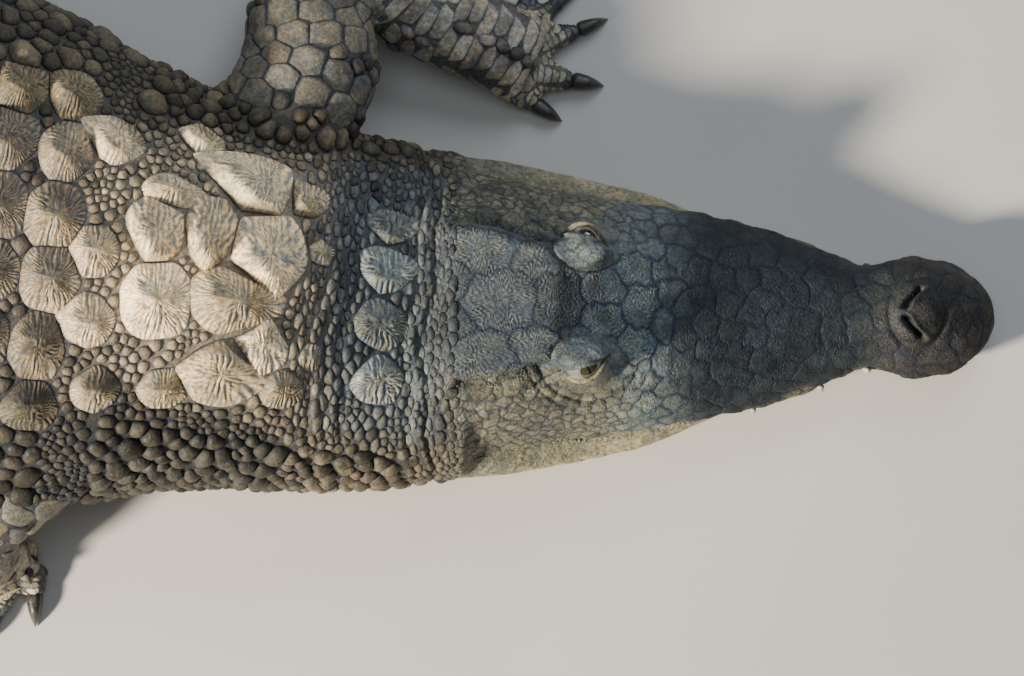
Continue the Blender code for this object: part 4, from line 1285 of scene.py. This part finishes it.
def unwrapped(points, s, v, limb, toe, far):
    """Places on the unrolled skin, in metres: body and head first, each limb and toe beyond."""
    along = s.copy()
    centre = widest_at(np.clip(s, 0.5, 3.5))
    round_by = np.arctan2(v, points[:, 2] - centre)
    girth = round_by * np.clip(half_width(np.clip(s, 0.5, 3.5)), 0.02, 1)
    for number, name in enumerate(LIMBS):
        mine = limb == number
        if not mine.any():
            continue
        line = LIMB_LINES[name]
        at = np.linalg.norm(points[mine, None] - line[None, :, :3], axis=2).argmin(1)
        tangent = unit(np.gradient(line[:, :3], axis=0))[at]
        across = unit(np.cross((0, 0, 1), tangent))
        offset = points[mine] - line[at, :3]
        angle = np.arctan2(np.sum(offset * across, 1), np.sum(offset * np.cross(tangent, across), 1))
        along[mine] = far[mine] + 0.62 * number
        girth[mine] = 1.25 + angle * 0.045
        for digit in range(len(LIMBS[name][3])):
            start, _, _, way, radius, _ = toe_line(name, digit)
            on = mine & (toe == digit)
            side = np.array([-way[1], way[0], 0])
            offset = points[on] - start - (0, 0, radius * TOE_HEIGHT)
            angle = np.arctan2(offset @ side, offset[:, 2])
            girth[on] = 1.50 + 0.085 * digit + angle * 0.012
    return np.stack([along, girth], 1)


def piece(name, points, loops, sizes, uv, attributes, material):
    """A mesh object from arrays, with its bake map and point attributes."""
    mesh = bpy.data.meshes.new(name)
    mesh.vertices.add(len(points))
    mesh.vertices.foreach_set("co", np.asarray(points, np.float32).ravel())
    mesh.loops.add(len(loops))
    mesh.loops.foreach_set("vertex_index", np.asarray(loops, np.int32))
    mesh.polygons.add(len(sizes))
    starts = np.concatenate([[0], np.cumsum(sizes)[:-1]])
    mesh.polygons.foreach_set("loop_start", starts.astype(np.int32))
    mesh.update(calc_edges=True)
    mesh.polygons.foreach_set("use_smooth", np.ones(len(sizes), bool))
    dress(mesh, uv[loops] if len(uv) == len(points) else uv, attributes)
    mesh.materials.append(material)
    obj = bpy.data.objects.new(name, mesh)
    bpy.context.scene.collection.objects.link(obj)
    return obj


def dress(mesh, corner_uv, attributes):
    """Gives a mesh its bake map, filling the square but for a thin border, and its attributes."""
    layer = mesh.uv_layers.new(name="OFBake")
    low, high = corner_uv.min(0), corner_uv.max(0)
    placed = 0.005 + 0.99 * (corner_uv - low) / (high - low)
    layer.data.foreach_set("uv", placed.astype(np.float32).ravel())
    for key, values in attributes.items():
        if values.ndim == 2:
            colour = np.hstack([values, np.ones((len(values), 1))]).astype(np.float32)
            mesh.attributes.new(key, "FLOAT_COLOR", "POINT").data.foreach_set("color", colour.ravel())
        else:
            mesh.attributes.new(key, "FLOAT", "POINT").data.foreach_set("value", values.astype(np.float32))


# ---------------------------------------------------------------- the scales as solid meshes
# Rings of a scale, as shares of its reach
FINE = (0.10, 0.20, 0.30, 0.40, 0.50, 0.60, 0.70, 0.79, 0.87, 0.93, 0.97, 1.0)
GOOD = (0.30, 0.55, 0.75, 0.88, 0.96, 1.0)
PLAIN = (0.45, 0.78, 0.94, 1.0)
ROUGH = (0.55, 0.90, 1.0)
RAYED_SIDES = 204
MARKS = ("rim", "gap", "tone", "ridge")


def keel_height(own, x, y):
    """The keel rises to a peak near the rear edge, steeper on its outer side."""
    off = own[:, None, OFF]
    steep = 1 - 0.35 * np.abs(off)
    outer = (y > off) == (off > 0)
    reach = np.where(outer, (1.05 - np.abs(off)) * steep, 1.05 + np.abs(off))
    slope = np.maximum(0, 1 - np.abs(y - off) / reach)
    peak = smooth(-1.0, 0.45, x) * (1 - 0.90 * smooth(0.55, 1.05, x))
    return own[:, None, KEEL] * slope**1.35 * peak


def shield_rays(own, rp, rq, rr, spots):
    """Fine ridges of -1 to 1 that run off the keel to both sides and fan out round its ends."""
    wander = (waves(spots, 0.013, 6) * 0.0011).reshape(rp.shape)
    side_of = rq - own[:, None, OFF] * own[:, None, WIDE]
    on_keel = np.clip(rp, -0.30 * own[:, None, LONG], 0.45 * own[:, None, LONG])
    past = rp - on_keel
    far = np.hypot(past, side_of)
    fan = on_keel + np.arctan2(past, np.abs(side_of) + 1e-6) * 0.024 + wander
    ridge = np.zeros_like(rp)
    for _ in range(16):
        length = rng.uniform(0.0025, 0.0064, (len(own), 1))
        phase = rng.uniform(0, 2 * pi, (len(own), 1))
        across = rng.normal(0, 2 * pi / 0.050, (len(own), 1))
        ridge += np.sin(2 * pi * fan / length + phase + across * far + 1.3 * np.sign(side_of))
    return np.tanh(0.42 * ridge) * smooth(0.0006, 0.0045, far) * (1 - smooth(0.94, 1.0, rr))


def scale_faces(sides, rings):
    """Corners and sizes of one scale's faces: a fan in the middle, bands, and one that closes it below."""
    k = np.arange(sides)
    after = (k + 1) % sides
    fan = np.stack([np.zeros(sides, int), 1 + k, 1 + after], 1).ravel()
    bands = [np.stack([1 + r * sides + k, 1 + (r + 1) * sides + k, 1 + (r + 1) * sides + after,
                       1 + r * sides + after], 1).ravel() for r in range(rings - 1)]
    under = 1 + (rings - 1) * sides + k[::-1]
    return (np.concatenate([fan, *bands, under]),
            np.concatenate([np.full(sides, 3), np.full(sides * (rings - 1), 4), [sides]]))


def scale_arrays(table, near, which, sides, ratios, skin, tone):
    """The meshes of some scales of one fineness: points, faces and marks."""
    own = table[which]
    kinds = own[:, KIND].astype(int)
    rise, flat, _, tilt, groove, rough = (np.array([LOOK[k][i] for k in kinds]) for i in range(6))
    p, q = outlines(table, near, sides, which)
    span = np.hypot(p, q)
    shrink = np.maximum(span - groove[:, None], 0.3 * span) / span
    p, q = p * shrink, q * shrink
    ratio = np.array(ratios)
    count, rings = len(own), len(ratios)
    # Middle point first, then the rings: places in the scale's plane and share of its reach
    rp = np.concatenate([np.zeros((count, 1)), (p[:, None] * ratio[:, None]).reshape(count, -1)], 1)
    rq = np.concatenate([np.zeros((count, 1)), (q[:, None] * ratio[:, None]).reshape(count, -1)], 1)
    rr = np.concatenate([[0], np.repeat(ratio, sides)])[None]
    level_points = (own[:, None, CENTRE] + rp[:, :, None] * own[:, None, ALONG]
                    + rq[:, :, None] * own[:, None, ACROSS])
    world = level_points.reshape(-1, 3)
    seat, _ = skin.nearest(world)
    seat = seat.reshape(level_points.shape)
    # Where the nearest skin is another fold, the scale's own plane is kept
    slip = np.linalg.norm(seat - level_points, axis=2, keepdims=True)
    size = np.minimum(own[:, LONG], own[:, WIDE])
    seat = np.where(slip < 0.6 * size[:, None, None] + 0.004, seat, level_points)
    # Heights: the dome with its raised rear edge, the keel, rays, roughness and the sunk rim
    dome = (1 - rr ** flat[:, None]) ** 0.6
    height = (rise * size)[:, None] * dome
    x, y = rp / own[:, None, LONG], rq / own[:, None, WIDE]
    height += (tilt * size)[:, None] * x * dome
    height += keel_height(own, x, y) * (1 - rr**6)
    ridge = np.zeros_like(height)
    if sides >= RAYED_SIDES:
        ridge = shield_rays(own, rp, rq, rr, world)
        height += ridge * 0.00062
    per = rp.shape[1]
    height += (waves(world, 0.016, 5) * np.repeat(rough, per)).reshape(height.shape) * (1 - rr**8)
    height -= 0.0011 * (rr >= 1)
    points = seat + own[:, None, NORMAL] * height[:, :, None]
    points[:, :, 2] = np.maximum(points[:, :, 2], SCALES_OVER_FLOOR)
    loops, sizes = scale_faces(sides, rings)
    loops = (loops[None] + np.arange(count)[:, None] * per).ravel()
    # How much of the dark groove, partly painted shade, reaches up the scale's side, by real distance from
    # its edge
    full = np.concatenate([span.mean(1, keepdims=True), np.tile(span, (1, rings))], 1)
    inward = (1 - rr) * full
    gap = np.exp(-(inward / 0.0006) ** 2)
    flat_topped = np.isin(kinds, (SHIELD, BACK, BAND))[:, None]
    # Nearness to the edge, which the hide turns into painted shade down the sides and a painted highlight
    # on top
    rim = np.where(flat_topped, np.clip(1 - inward / 0.0045, 0, 1), np.broadcast_to(rr, rp.shape))
    return {"points": points.reshape(-1, 3), "loops": loops, "sizes": np.tile(sizes, count),
            "rim": rim.ravel(), "gap": gap.ravel(), "tone": np.repeat(tone[which], per),
            "ridge": 0.80 * ridge.ravel(), "root": np.repeat(which, per),
            "local": np.stack([rp.ravel(), rq.ravel()], 1)}


def coat_piece(name, parts, table, place_of, material):
    """One mesh of many scales, coloured by where each scale sits."""
    points = np.vstack([part["points"] for part in parts])
    starts = np.concatenate([[0], np.cumsum([len(part["points"]) for part in parts])[:-1]])
    loops = np.concatenate([part["loops"] + start for part, start in zip(parts, starts)])
    sizes = np.concatenate([part["sizes"] for part in parts])
    join = {key: np.concatenate([part[key] for part in parts])
            for key in (*MARKS, "root", "local")}
    spots = [part[join["root"]] for part in place_of]
    root_points = table[join["root"], CENTRE]
    uv = unwrapped(root_points, *spots[:5]) + join["local"] * (1, -1)
    colour = hide_colour(root_points * 0.35 + points * 0.65, *spots[:5])
    attributes = {"tint": colour, **{key: join[key] for key in MARKS}}
    return piece(name, points, loops, sizes, uv, attributes, material)


# ---------------------------------------------------------------- materials
class Nodes:
    """Short calls for a material's nodes and the links between them."""

    def __init__(self, name):
        self.material = bpy.data.materials.new(name)
        self.material.use_nodes = True
        self.tree = self.material.node_tree
        self.shader = self.tree.nodes["Principled BSDF"]

    def node(self, kind, settings=None, **inputs):
        made = self.tree.nodes.new(kind)
        for key, value in (settings or {}).items():
            setattr(made, key, value)
        for key, value in inputs.items():
            by_number = key[0] == "i" and key[1:].isdigit()
            socket = made.inputs[int(key[1:]) if by_number else key]
            if isinstance(value, bpy.types.NodeSocket):
                self.tree.links.new(value, socket)
            else:
                socket.default_value = value
        return made

    def attribute(self, name, out="Fac"):
        return self.node("ShaderNodeAttribute", {"attribute_name": name}).outputs[out]

    def math(self, how, a, b=0.0, c=0.0, clamp=False):
        made = self.node("ShaderNodeMath", {"operation": how, "use_clamp": clamp}, i0=a, i1=b, i2=c)
        return made.outputs[0]

    def ramp(self, value, low, high, to_low=0.0, to_high=1.0):
        made = self.node("ShaderNodeMapRange", {"interpolation_type": "SMOOTHSTEP"}, i0=value, i1=low,
                         i2=high, i3=to_low, i4=to_high)
        return made.outputs[0]

    def mix(self, share, a, b, how="MIX"):
        made = self.tree.nodes.new("ShaderNodeMix")
        made.data_type, made.blend_type = "RGBA", how
        for socket, value in ((made.inputs[0], share), (made.inputs[6], a), (made.inputs[7], b)):
            if isinstance(value, bpy.types.NodeSocket):
                self.tree.links.new(value, socket)
            else:
                socket.default_value = value
        return made.outputs[2]

    def noise(self, where, scale, detail=2.0, rough=0.5, twist=0.0):
        made = self.node("ShaderNodeTexNoise", None, Vector=where, Scale=scale, Detail=detail,
                         Roughness=rough, Distortion=twist)
        return made.outputs["Fac"]

    def finish(self, colour, roughness, normal=None, **constants):
        for key, value in (("Base Color", colour), ("Roughness", roughness), ("Normal", normal)):
            if isinstance(value, bpy.types.NodeSocket):
                self.tree.links.new(value, self.shader.inputs[key])
            elif value is not None:
                self.shader.inputs[key].default_value = value
        for key, value in constants.items():
            self.shader.inputs[key.replace("_", " ")].default_value = value
        return self.material


def hide_material():
    n = Nodes("hide")
    where = n.node("ShaderNodeTexCoord").outputs["Object"]
    tint, gap, rim = n.attribute("tint", "Color"), n.attribute("gap"), n.attribute("rim")
    tone, ridge = n.attribute("tone"), n.attribute("ridge")
    speck = n.noise(where, 270.0, 3.0, 0.65)
    dust = n.noise(where, 60.0, 4.0, 0.6)
    grit = n.noise(where, 1300.0, 2.0, 0.6)
    hue = n.noise(where, 150.0, 2.0, 0.5)
    shade = n.math("MULTIPLY_ADD", tone, 0.17, 1.0)
    shade = n.math("MULTIPLY", shade, n.ramp(speck, 0.32, 0.68, 0.68, 1.32))
    shade = n.math("MULTIPLY", shade, n.ramp(dust, 0.25, 0.75, 0.78, 1.22))
    shade = n.math("MULTIPLY", shade, n.ramp(grit, 0.2, 0.8, 0.82, 1.18))
    grey = n.node("ShaderNodeCombineColor", None, i0=shade, i1=shade, i2=shade).outputs[0]
    colour = n.mix(1.0, tint, grey, "MULTIPLY")
    colour = n.mix(1.0, colour, n.mix(n.ramp(hue, 0.35, 0.65), (0.93, 1.0, 1.09, 1), (1.07, 1.0, 0.90, 1)),
                   "MULTIPLY")
    # Ridges are painted paler and warmer, a painted highlight, and the valleys between them bluish, painted
    # shade
    valley = n.mix(1.0, colour, (0.24, 0.36, 0.62, 1), "MULTIPLY")
    crest = n.mix(1.0, colour, (1.84, 1.62, 1.24, 1), "MULTIPLY")
    colour = n.mix(n.math("MULTIPLY_ADD", ridge, 0.5, 0.5, clamp=True), valley, crest)
    # Scales are painted pale on top, a painted highlight made patchy by the dust noise, and dark down their
    # sides, painted shade
    top_highlight = n.math("MULTIPLY", n.ramp(rim, 0.80, 0.15), n.ramp(dust, 0.35, 0.65, 0.20, 0.70))
    colour = n.mix(top_highlight, colour, n.mix(1.0, colour, (1.45, 1.34, 1.10, 1), "MULTIPLY"))
    colour = n.mix(n.ramp(rim, 0.62, 0.98, 0.0, 0.55), colour,
                   n.mix(1.0, colour, (0.44, 0.46, 0.52, 1), "MULTIPLY"))
    # Painted shade, partly: grooves and cracks are painted dark navy, over the skin's own darker colour
    # there
    colour = n.mix(n.math("MULTIPLY", gap, 0.84), colour, (0.017, 0.024, 0.043, 1))
    cracks = n.node("ShaderNodeTexVoronoi", {"feature": "DISTANCE_TO_EDGE"}, Vector=where, Scale=210.0)
    crack = n.ramp(cracks.outputs["Distance"], 0.0, 0.09)
    bump = n.node("ShaderNodeBump", None, Strength=0.65, Distance=0.0012,
                  Height=n.math("ADD", n.math("MULTIPLY", speck, 0.7), n.math("MULTIPLY", crack, 0.30)))
    fine = n.node("ShaderNodeBump", None, Strength=0.40, Distance=0.0005, Height=grit,
                  Normal=bump.outputs[0])
    rough = n.ramp(dust, 0.3, 0.7, 0.46, 0.66)
    return n.finish(colour, rough, fine.outputs[0], Specular_IOR_Level=0.33)


def eye_material():
    n = Nodes("eye")
    iris, slit = n.attribute("iris"), n.attribute("slit")
    where = n.node("ShaderNodeTexCoord").outputs["Object"]
    fibre = n.noise(where, 900.0, 4.0, 0.7, 0.6)
    inner = n.mix(n.ramp(fibre, 0.35, 0.65), (0.022, 0.020, 0.010, 1), (0.070, 0.062, 0.029, 1))
    # Painted shade: the white of the ball is painted a dim grey-olive, as if shaded by the lids
    lid_shaded_white = n.mix(n.ramp(n.noise(where, 300.0), 0.4, 0.7), (0.14, 0.145, 0.13, 1), (0.25, 0.25, 0.215, 1))
    colour = n.mix(n.ramp(iris, 0.92, 1.04), inner, lid_shaded_white)
    ring = n.math("MULTIPLY", n.ramp(iris, 0.80, 0.97), n.ramp(iris, 1.10, 1.0))
    colour = n.mix(n.math("MULTIPLY", ring, 0.75), colour, (0.020, 0.017, 0.010, 1))
    colour = n.mix(n.ramp(slit, 1.15, 0.85), colour, (0.004, 0.004, 0.004, 1))
    return n.finish(colour, 0.09, None, Specular_IOR_Level=0.6, Coat_Weight=1.0, Coat_Roughness=0.03)


def horn_material(name, dark, pale, scale):
    n = Nodes(name)
    where = n.node("ShaderNodeTexCoord").outputs["Object"]
    share = n.attribute("edge")
    streak = n.noise(where, scale, 4.0, 0.6, 0.4)
    colour = n.mix(n.math("MULTIPLY", n.ramp(streak, 0.3, 0.7), 0.6), dark, pale)
    colour = n.mix(n.ramp(share, 0.35, 1.0, 0.0, 0.55), colour, pale)
    bump = n.node("ShaderNodeBump", None, Strength=0.3, Distance=0.0004, Height=streak)
    return n.finish(colour, n.ramp(streak, 0.3, 0.7, 0.30, 0.46), bump.outputs[0], Specular_IOR_Level=0.5)


# ---------------------------------------------------------------- eyes, claws and teeth
def grid_piece(name, rings, attributes, material):
    """A closed form through rings of points, with a fan at each end."""
    count, sides = rings.shape[:2]
    index = np.arange(count * sides).reshape(count, sides)
    after = np.roll(index, -1, axis=1)
    quads = np.stack([index[:-1], after[:-1], after[1:], index[1:]], -1).reshape(-1)
    points = np.vstack([rings.reshape(-1, 3), rings[0].mean(0), rings[-1].mean(0)])
    first, last = count * sides, count * sides + 1
    caps = [np.stack([np.full(sides, first), after[0], index[0]], 1).ravel(),
            np.stack([np.full(sides, last), index[-1], after[-1]], 1).ravel()]
    loops = np.concatenate([quads, *caps])
    sizes = np.concatenate([np.full(len(quads) // 4, 4), np.full(2 * sides, 3)])
    along = np.repeat(np.arange(count) / (count - 1), sides)
    turn = np.tile(np.arange(sides) / sides, count)
    uv = np.stack([np.concatenate([along, [0, 1]]), np.concatenate([turn, [0.5, 0.5]])], 1)
    values = {key: np.concatenate([v, [v[:sides].mean(), v[-sides:].mean()]])
              for key, v in attributes.items()}
    return piece(name, points, loops, sizes, uv, values, material)


IRIS_HALF, SLIT_HALF, SLIT_TALL = 0.0086, 0.0011, 0.0078
CORNEA = 0.0006


def make_eye(side, centre, out, front, upper, material):
    """A ball with a slight cornea, its iris looking a little forward, its slit upright."""
    look = unit(out + front * 0.42)
    slit_up = unit(upper - look * (upper @ look))
    slit_side = np.cross(look, slit_up)
    polar = np.linspace(0.004, pi - 0.004, 56)
    turn = np.arange(64) * 2 * pi / 64
    round_by = slit_up * np.cos(turn)[:, None] + slit_side * np.sin(turn)[:, None]
    way = look * np.cos(polar)[:, None, None] + round_by * np.sin(polar)[:, None, None]
    far = np.broadcast_to(polar[:, None] * EYE_RADIUS / IRIS_HALF, way.shape[:2])
    radius = EYE_RADIUS + CORNEA * np.clip(1 - far**2, 0, 1)
    across = (way @ slit_side) * EYE_RADIUS / SLIT_HALF
    tall = (way @ slit_up) * EYE_RADIUS / SLIT_TALL
    rings = centre + way * radius[:, :, None]
    slit = np.where(way @ look > 0, np.hypot(across, tall), 9.0)
    name = "eye_right_ball" if side < 0 else "eye_left_ball"
    return grid_piece(name, rings, {"iris": far.ravel(), "slit": slit.ravel()}, material)


CLAW_SIDES = 24


def make_claw(name, number, material):
    """A curved claw, ridged above and flatter below, that never goes under the floor."""
    _, flesh, _, way, radius, claw = toe_line(name, number)
    share = np.concatenate([[-0.12], np.linspace(0.0, 1.0, 26) ** 0.8])
    tall = curve([(-0.12, 0.66), (0, 0.74), (0.35, 0.72), (0.7, 0.52), (1.0, 0.05)])(share)
    wide = curve([(-0.12, 0.50), (0, 0.60), (0.35, 0.50), (0.7, 0.31), (1.0, 0.03)])(share)
    drop = curve([(-0.12, 0.80), (0, 0.82), (0.45, 0.80), (0.8, 0.54), (1.0, 0.16)])(share)
    middle = flesh + way * claw * share[:, None] * 0.985
    path = np.stack([middle[:, 0], middle[:, 1], drop * radius * TOE_HEIGHT,
                     wide * radius, tall * radius * TOE_HEIGHT], 1)
    rings = tube(path, CLAW_SIDES, way)
    rings[:, :, 2] = np.maximum(rings[:, :, 2], OVER_FLOOR)
    part = "hand" if name.endswith("hand") else "foot"
    side = name.split("_")[0]
    return grid_piece(f"{side}_{part}_claw_{number + 1}_horn", rings,
                      {"edge": np.repeat(share.clip(0, 1), CLAW_SIDES)}, material)


# Teeth of each side: s and length
UPPER_TEETH = [(0.028, 0.010), (0.048, 0.012), (0.068, 0.014), (0.088, 0.011), (0.142, 0.010),
               (0.160, 0.013), (0.180, 0.016), (0.200, 0.013), (0.222, 0.011)]
LOWER_TOOTH = (0.1175, 0.021)
SHOWN_TEETH = (0.160, 0.222)        # those on the right that the lip leaves bare seen from above
TOOTH_SIDES = TOOTH_RINGS = 14


def tooth_rings(side, s, long, v, z, up, lean):
    """Rings of a tooth from inside the jaw to its point, and each ring's share of the length."""
    share = np.linspace(-0.2, 1, TOOTH_RINGS)
    width = 0.23 * long * np.sqrt(np.clip(1 - np.clip(share, 0, 1) ** 1.6, 0.002, 1))
    root = place(s, side * v, z)
    out = place(s, side * (v + 1), z) - root
    way = unit(np.array([0, 0, up]) + out * lean)
    bend = (share**2)[:, None] * out * -0.10 * long
    middle = root + way * long * share[:, None] + bend
    tangent = unit(place(s - 0.01, side * v, z) - root)
    other = np.cross(way, tangent)
    turn = np.arange(TOOTH_SIDES) * 2 * pi / TOOTH_SIDES
    return (middle[:, None] + tangent * np.cos(turn)[:, None] * width[:, None, None]
            + other * np.sin(turn)[:, None] * width[:, None, None] * 0.85), share


def make_teeth(material):
    """All teeth as one piece: the upper ones point down, one large lower one points up."""
    made = []
    for side in (1, -1):
        for s, long in UPPER_TEETH:
            shown = side < 0 and s in SHOWN_TEETH
            out = upper_half(s) - (0.0015 if shown else 0.0050)
            made.append(tooth_rings(side, s, long, out, mouth_at(s) + 0.004, -1, 0.25 if shown else 0.0))
        s, long = LOWER_TOOTH
        made.append(tooth_rings(side, s, long, lower_half(s) - 0.002, mouth_at(s) - 0.012, 1, 0.30))
    points, loops, sizes, uv, edge, start = [], [], [], [], [], 0
    turn = np.tile(np.arange(TOOTH_SIDES) / TOOTH_SIDES, TOOTH_RINGS)
    for number, (ring, share) in enumerate(made):
        body, faces = loft_arrays(ring)
        points.append(body)
        for face in faces:
            loops += [i + start for i in face]
            sizes.append(len(face))
        along = np.repeat(share, TOOTH_SIDES)
        uv.append(np.stack([along * 0.04 + (number % 5) * 0.06, turn * 0.04 + (number // 5) * 0.06], 1))
        edge.append(along.clip(0, 1))
        start += len(body)
    return piece("teeth", np.vstack(points), np.array(loops), np.array(sizes), np.vstack(uv),
                 {"edge": np.concatenate(edge)}, material)


# ---------------------------------------------------------------- putting the animal together
def skin_uv(obj, points, spots):
    """Bake places for the skin's corners, with no face spanning the belly seam."""
    mesh = obj.data
    corners = np.empty(len(mesh.loops), np.int32)
    mesh.loops.foreach_get("vertex_index", corners)
    first = np.empty(len(mesh.polygons), np.int32)
    size = np.empty(len(mesh.polygons), np.int32)
    mesh.polygons.foreach_get("loop_start", first)
    mesh.polygons.foreach_get("loop_total", size)
    uv = unwrapped(points, *spots[:5])[corners]
    face = np.repeat(np.arange(len(size)), size)
    lead = uv[first][face]
    # Corners far from their face's first corner lie across a seam: they are put beside it
    far = np.abs(uv - lead).max(1) > 0.035
    uv[far] = lead[far] + 0.002 * (np.arange(far.sum()) % 3)[:, None]
    return uv


LID_RIM = (0.26, 0.22, 0.13)


def colour_lids(attributes, points):
    """Pale rims on the eyelids, and dark skin inside their opening."""
    for _, centre, out, front, upper in eye_frames():
        offset = points - centre
        far, a, b = lid_opening(offset, out, front, upper)
        near_ball = np.linalg.norm(offset, axis=1) < 0.0245
        lower = smooth(0.0015, -0.0015, b) * smooth(-0.015, -0.004, a) + smooth(0.009, 0.015, a)
        rim = bump(1.22, 0.30, far) * near_ball * np.clip(lower, 0, 1)
        gap = attributes["gap"]
        attributes["gap"] = np.where(near_ball & (far < 1.6), gap * (1 - rim), gap)
        attributes["tint"] += (np.array(LID_RIM) - attributes["tint"]) * (0.8 * rim)[:, None]
        inside = near_ball * (1 - smooth(0.75, 1.05, far))
        attributes["tint"] *= (1 - 0.9 * inside)[:, None]
        attributes["ridge"] *= 1 - rim


def coat_groups(s, limb, shield, crest):
    """Which scales make up each piece of the coat."""
    body = limb < 0
    neck = body & (s < NECK_END)
    front = body & (s >= NECK_END) & (s < FRONT_END)
    rear = body & (s >= FRONT_END) & (s < TRUNK_END)
    tail = body & (s >= TRUNK_END)
    groups = {"neck_scales": neck & ~shield, "neck_shields": neck & shield,
              "trunk_front_scales": front & ~shield, "trunk_front_shields": front & shield,
              "trunk_rear_scales": rear & ~shield, "trunk_rear_shields": rear & shield,
              "tail_scales": tail & ~crest, "tail_crests": crest}
    for number, name in enumerate(LIMBS):
        groups[name.replace("hand", "arm").replace("foot", "leg") + "_scales"] = limb == number
    return groups


def make_coat(skin, hide):
    """The scales in their pieces, each scale as fine as its size and the photo's view ask for."""
    table = lay_out(skin)
    near = neighbours(table)
    place_of = regions(table[:, CENTRE])
    s, limb = place_of[0], place_of[2]
    kind = table[:, KIND].astype(int)
    # Granules are darker than the larger scales
    tone = rng.normal(0, 1, len(table)).clip(-2, 2) - 2.6 * np.isin(kind, (GRAIN, BEAD))
    shield, crest = np.isin(kind, (SHIELD, BACK)), kind == CREST
    rayed = shield & (s < 0.93)
    plain = ~shield & ~crest
    seen = (s < 0.98) & (table[:, NORMAL][:, 2] > -0.2)
    size = np.maximum(table[:, LONG], table[:, WIDE])
    large, small = plain & (size > LARGE), plain & (size <= SMALL)
    middling = plain & ~large & ~small
    pieces = []
    for name, mine in coat_groups(s, limb, shield, crest).items():
        levels = [(rayed, RAYED_SIDES, FINE), (~rayed & shield | crest, 48, FINE[1::2]),
                  (large & seen, 28, GOOD), (large & ~seen, 18, PLAIN),
                  (middling & seen, 14, PLAIN), (middling & ~seen, 12, ROUGH),
                  (small, 9, PLAIN if name != "trunk_rear_scales" else ROUGH)]
        parts = [scale_arrays(table, near, np.flatnonzero(mine & level), sides, ratios, skin, tone)
                 for level, sides, ratios in levels if (mine & level).any()]
        pieces.append(coat_piece(name, parts, table, place_of, hide))
    return pieces


def build():
    obj = make_skin()
    attributes = crack_head(obj)
    skin = Skin(obj)
    hide = hide_material()
    spots = regions(skin.points)
    attributes["tint"] = hide_colour(skin.points, *spots[:5])
    colour_lids(attributes, skin.points)
    dress(obj.data, skin_uv(obj, skin.points, spots), attributes)
    obj.data.materials.clear()
    obj.data.materials.append(hide)
    obj.data.polygons.foreach_set("use_smooth", np.ones(len(obj.data.polygons), bool))
    return obj, [obj, *make_coat(skin, hide)]


skin_piece, hide_pieces = build()
for made in hide_pieces:
    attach(made, "root")
flesh = [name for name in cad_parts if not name.startswith("eye_") and "_claw_" not in name]
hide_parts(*flesh)

wet = eye_material()
for eye in eye_frames():
    ball = make_eye(*eye, wet)
    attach(ball, "root")
    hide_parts("eye_left" if eye[0] > 0 else "eye_right")
horn = horn_material("claw_horn", (0.020, 0.019, 0.017, 1), (0.11, 0.10, 0.085, 1), 260.0)
for name in LIMBS:
    for number in range(3):
        claw = make_claw(name, number, horn)
        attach(claw, "root")
        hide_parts(claw.name[:-5])
teeth = make_teeth(horn_material("tooth", (0.40, 0.35, 0.24, 1), (0.66, 0.61, 0.48, 1), 300.0))
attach(teeth, "root")


# ---------------------------------------------------------------- floor, light and camera
def add_light(name, spot, aim, size, power, colour):
    light = bpy.data.lights.new(name, "AREA")
    light.shape, light.size, light.energy, light.color = "DISK", size, power, colour
    obj = bpy.data.objects.new(name, light)
    obj.location = spot
    obj.rotation_euler = (Vector(aim) - Vector(spot)).to_track_quat("-Z", "Y").to_euler()
    bpy.context.scene.collection.objects.link(obj)


def make_floor():
    corners = [(-30, -30, 0), (30, -30, 0), (30, 30, 0), (-30, 30, 0)]
    floor = new_object("floor", corners, [(0, 1, 2, 3)])
    n = Nodes("pale_floor")
    where = n.node("ShaderNodeTexCoord").outputs["Object"]
    tone = n.ramp(n.noise(where, 3.0, 3.0), 0.3, 0.7)
    floor.data.materials.append(n.finish(n.mix(tone, (0.60, 0.585, 0.56, 1), (0.64, 0.625, 0.60, 1)), 0.85))


make_floor()
VIEW_DISTANCE, VIEW_WIDTH, VIEW_UP, SENSOR = 7.0, 0.9216, radians(83), 36
aim = Vector((solids_box[1][0] - 0.4428, -0.1338, 0.165))
camera = bpy.data.objects.new("camera", bpy.data.cameras.new("camera"))
camera.data.sensor_width = SENSOR
camera.data.lens = SENSOR * VIEW_DISTANCE / VIEW_WIDTH
camera.data.clip_end = 60
camera.location = aim + Vector((0, -cos(VIEW_UP), sin(VIEW_UP))) * VIEW_DISTANCE
camera.rotation_euler = (aim - camera.location).to_track_quat("-Z", "Y").to_euler()
bpy.context.scene.collection.objects.link(camera)
bpy.context.scene.camera = camera
middle = Vector((-0.2, 0, 0.1))
add_light("key", (-3.6, -2.7, 2.7), aim, 0.8, 960, (1.0, 0.89, 0.72))
add_light("fill", (2.0, 3.6, 3.6), middle, 3.0, 105, (0.82, 0.90, 1.0))
add_light("top", (0.8, 0.2, 6.0), middle, 4.0, 58, (0.86, 0.93, 1.0))
world = bpy.data.worlds.new("studio")
world.use_nodes = True
world.node_tree.nodes["Background"].inputs[0].default_value = (0.80, 0.86, 0.95, 1)
world.node_tree.nodes["Background"].inputs[1].default_value = 0.11
bpy.context.scene.world = world
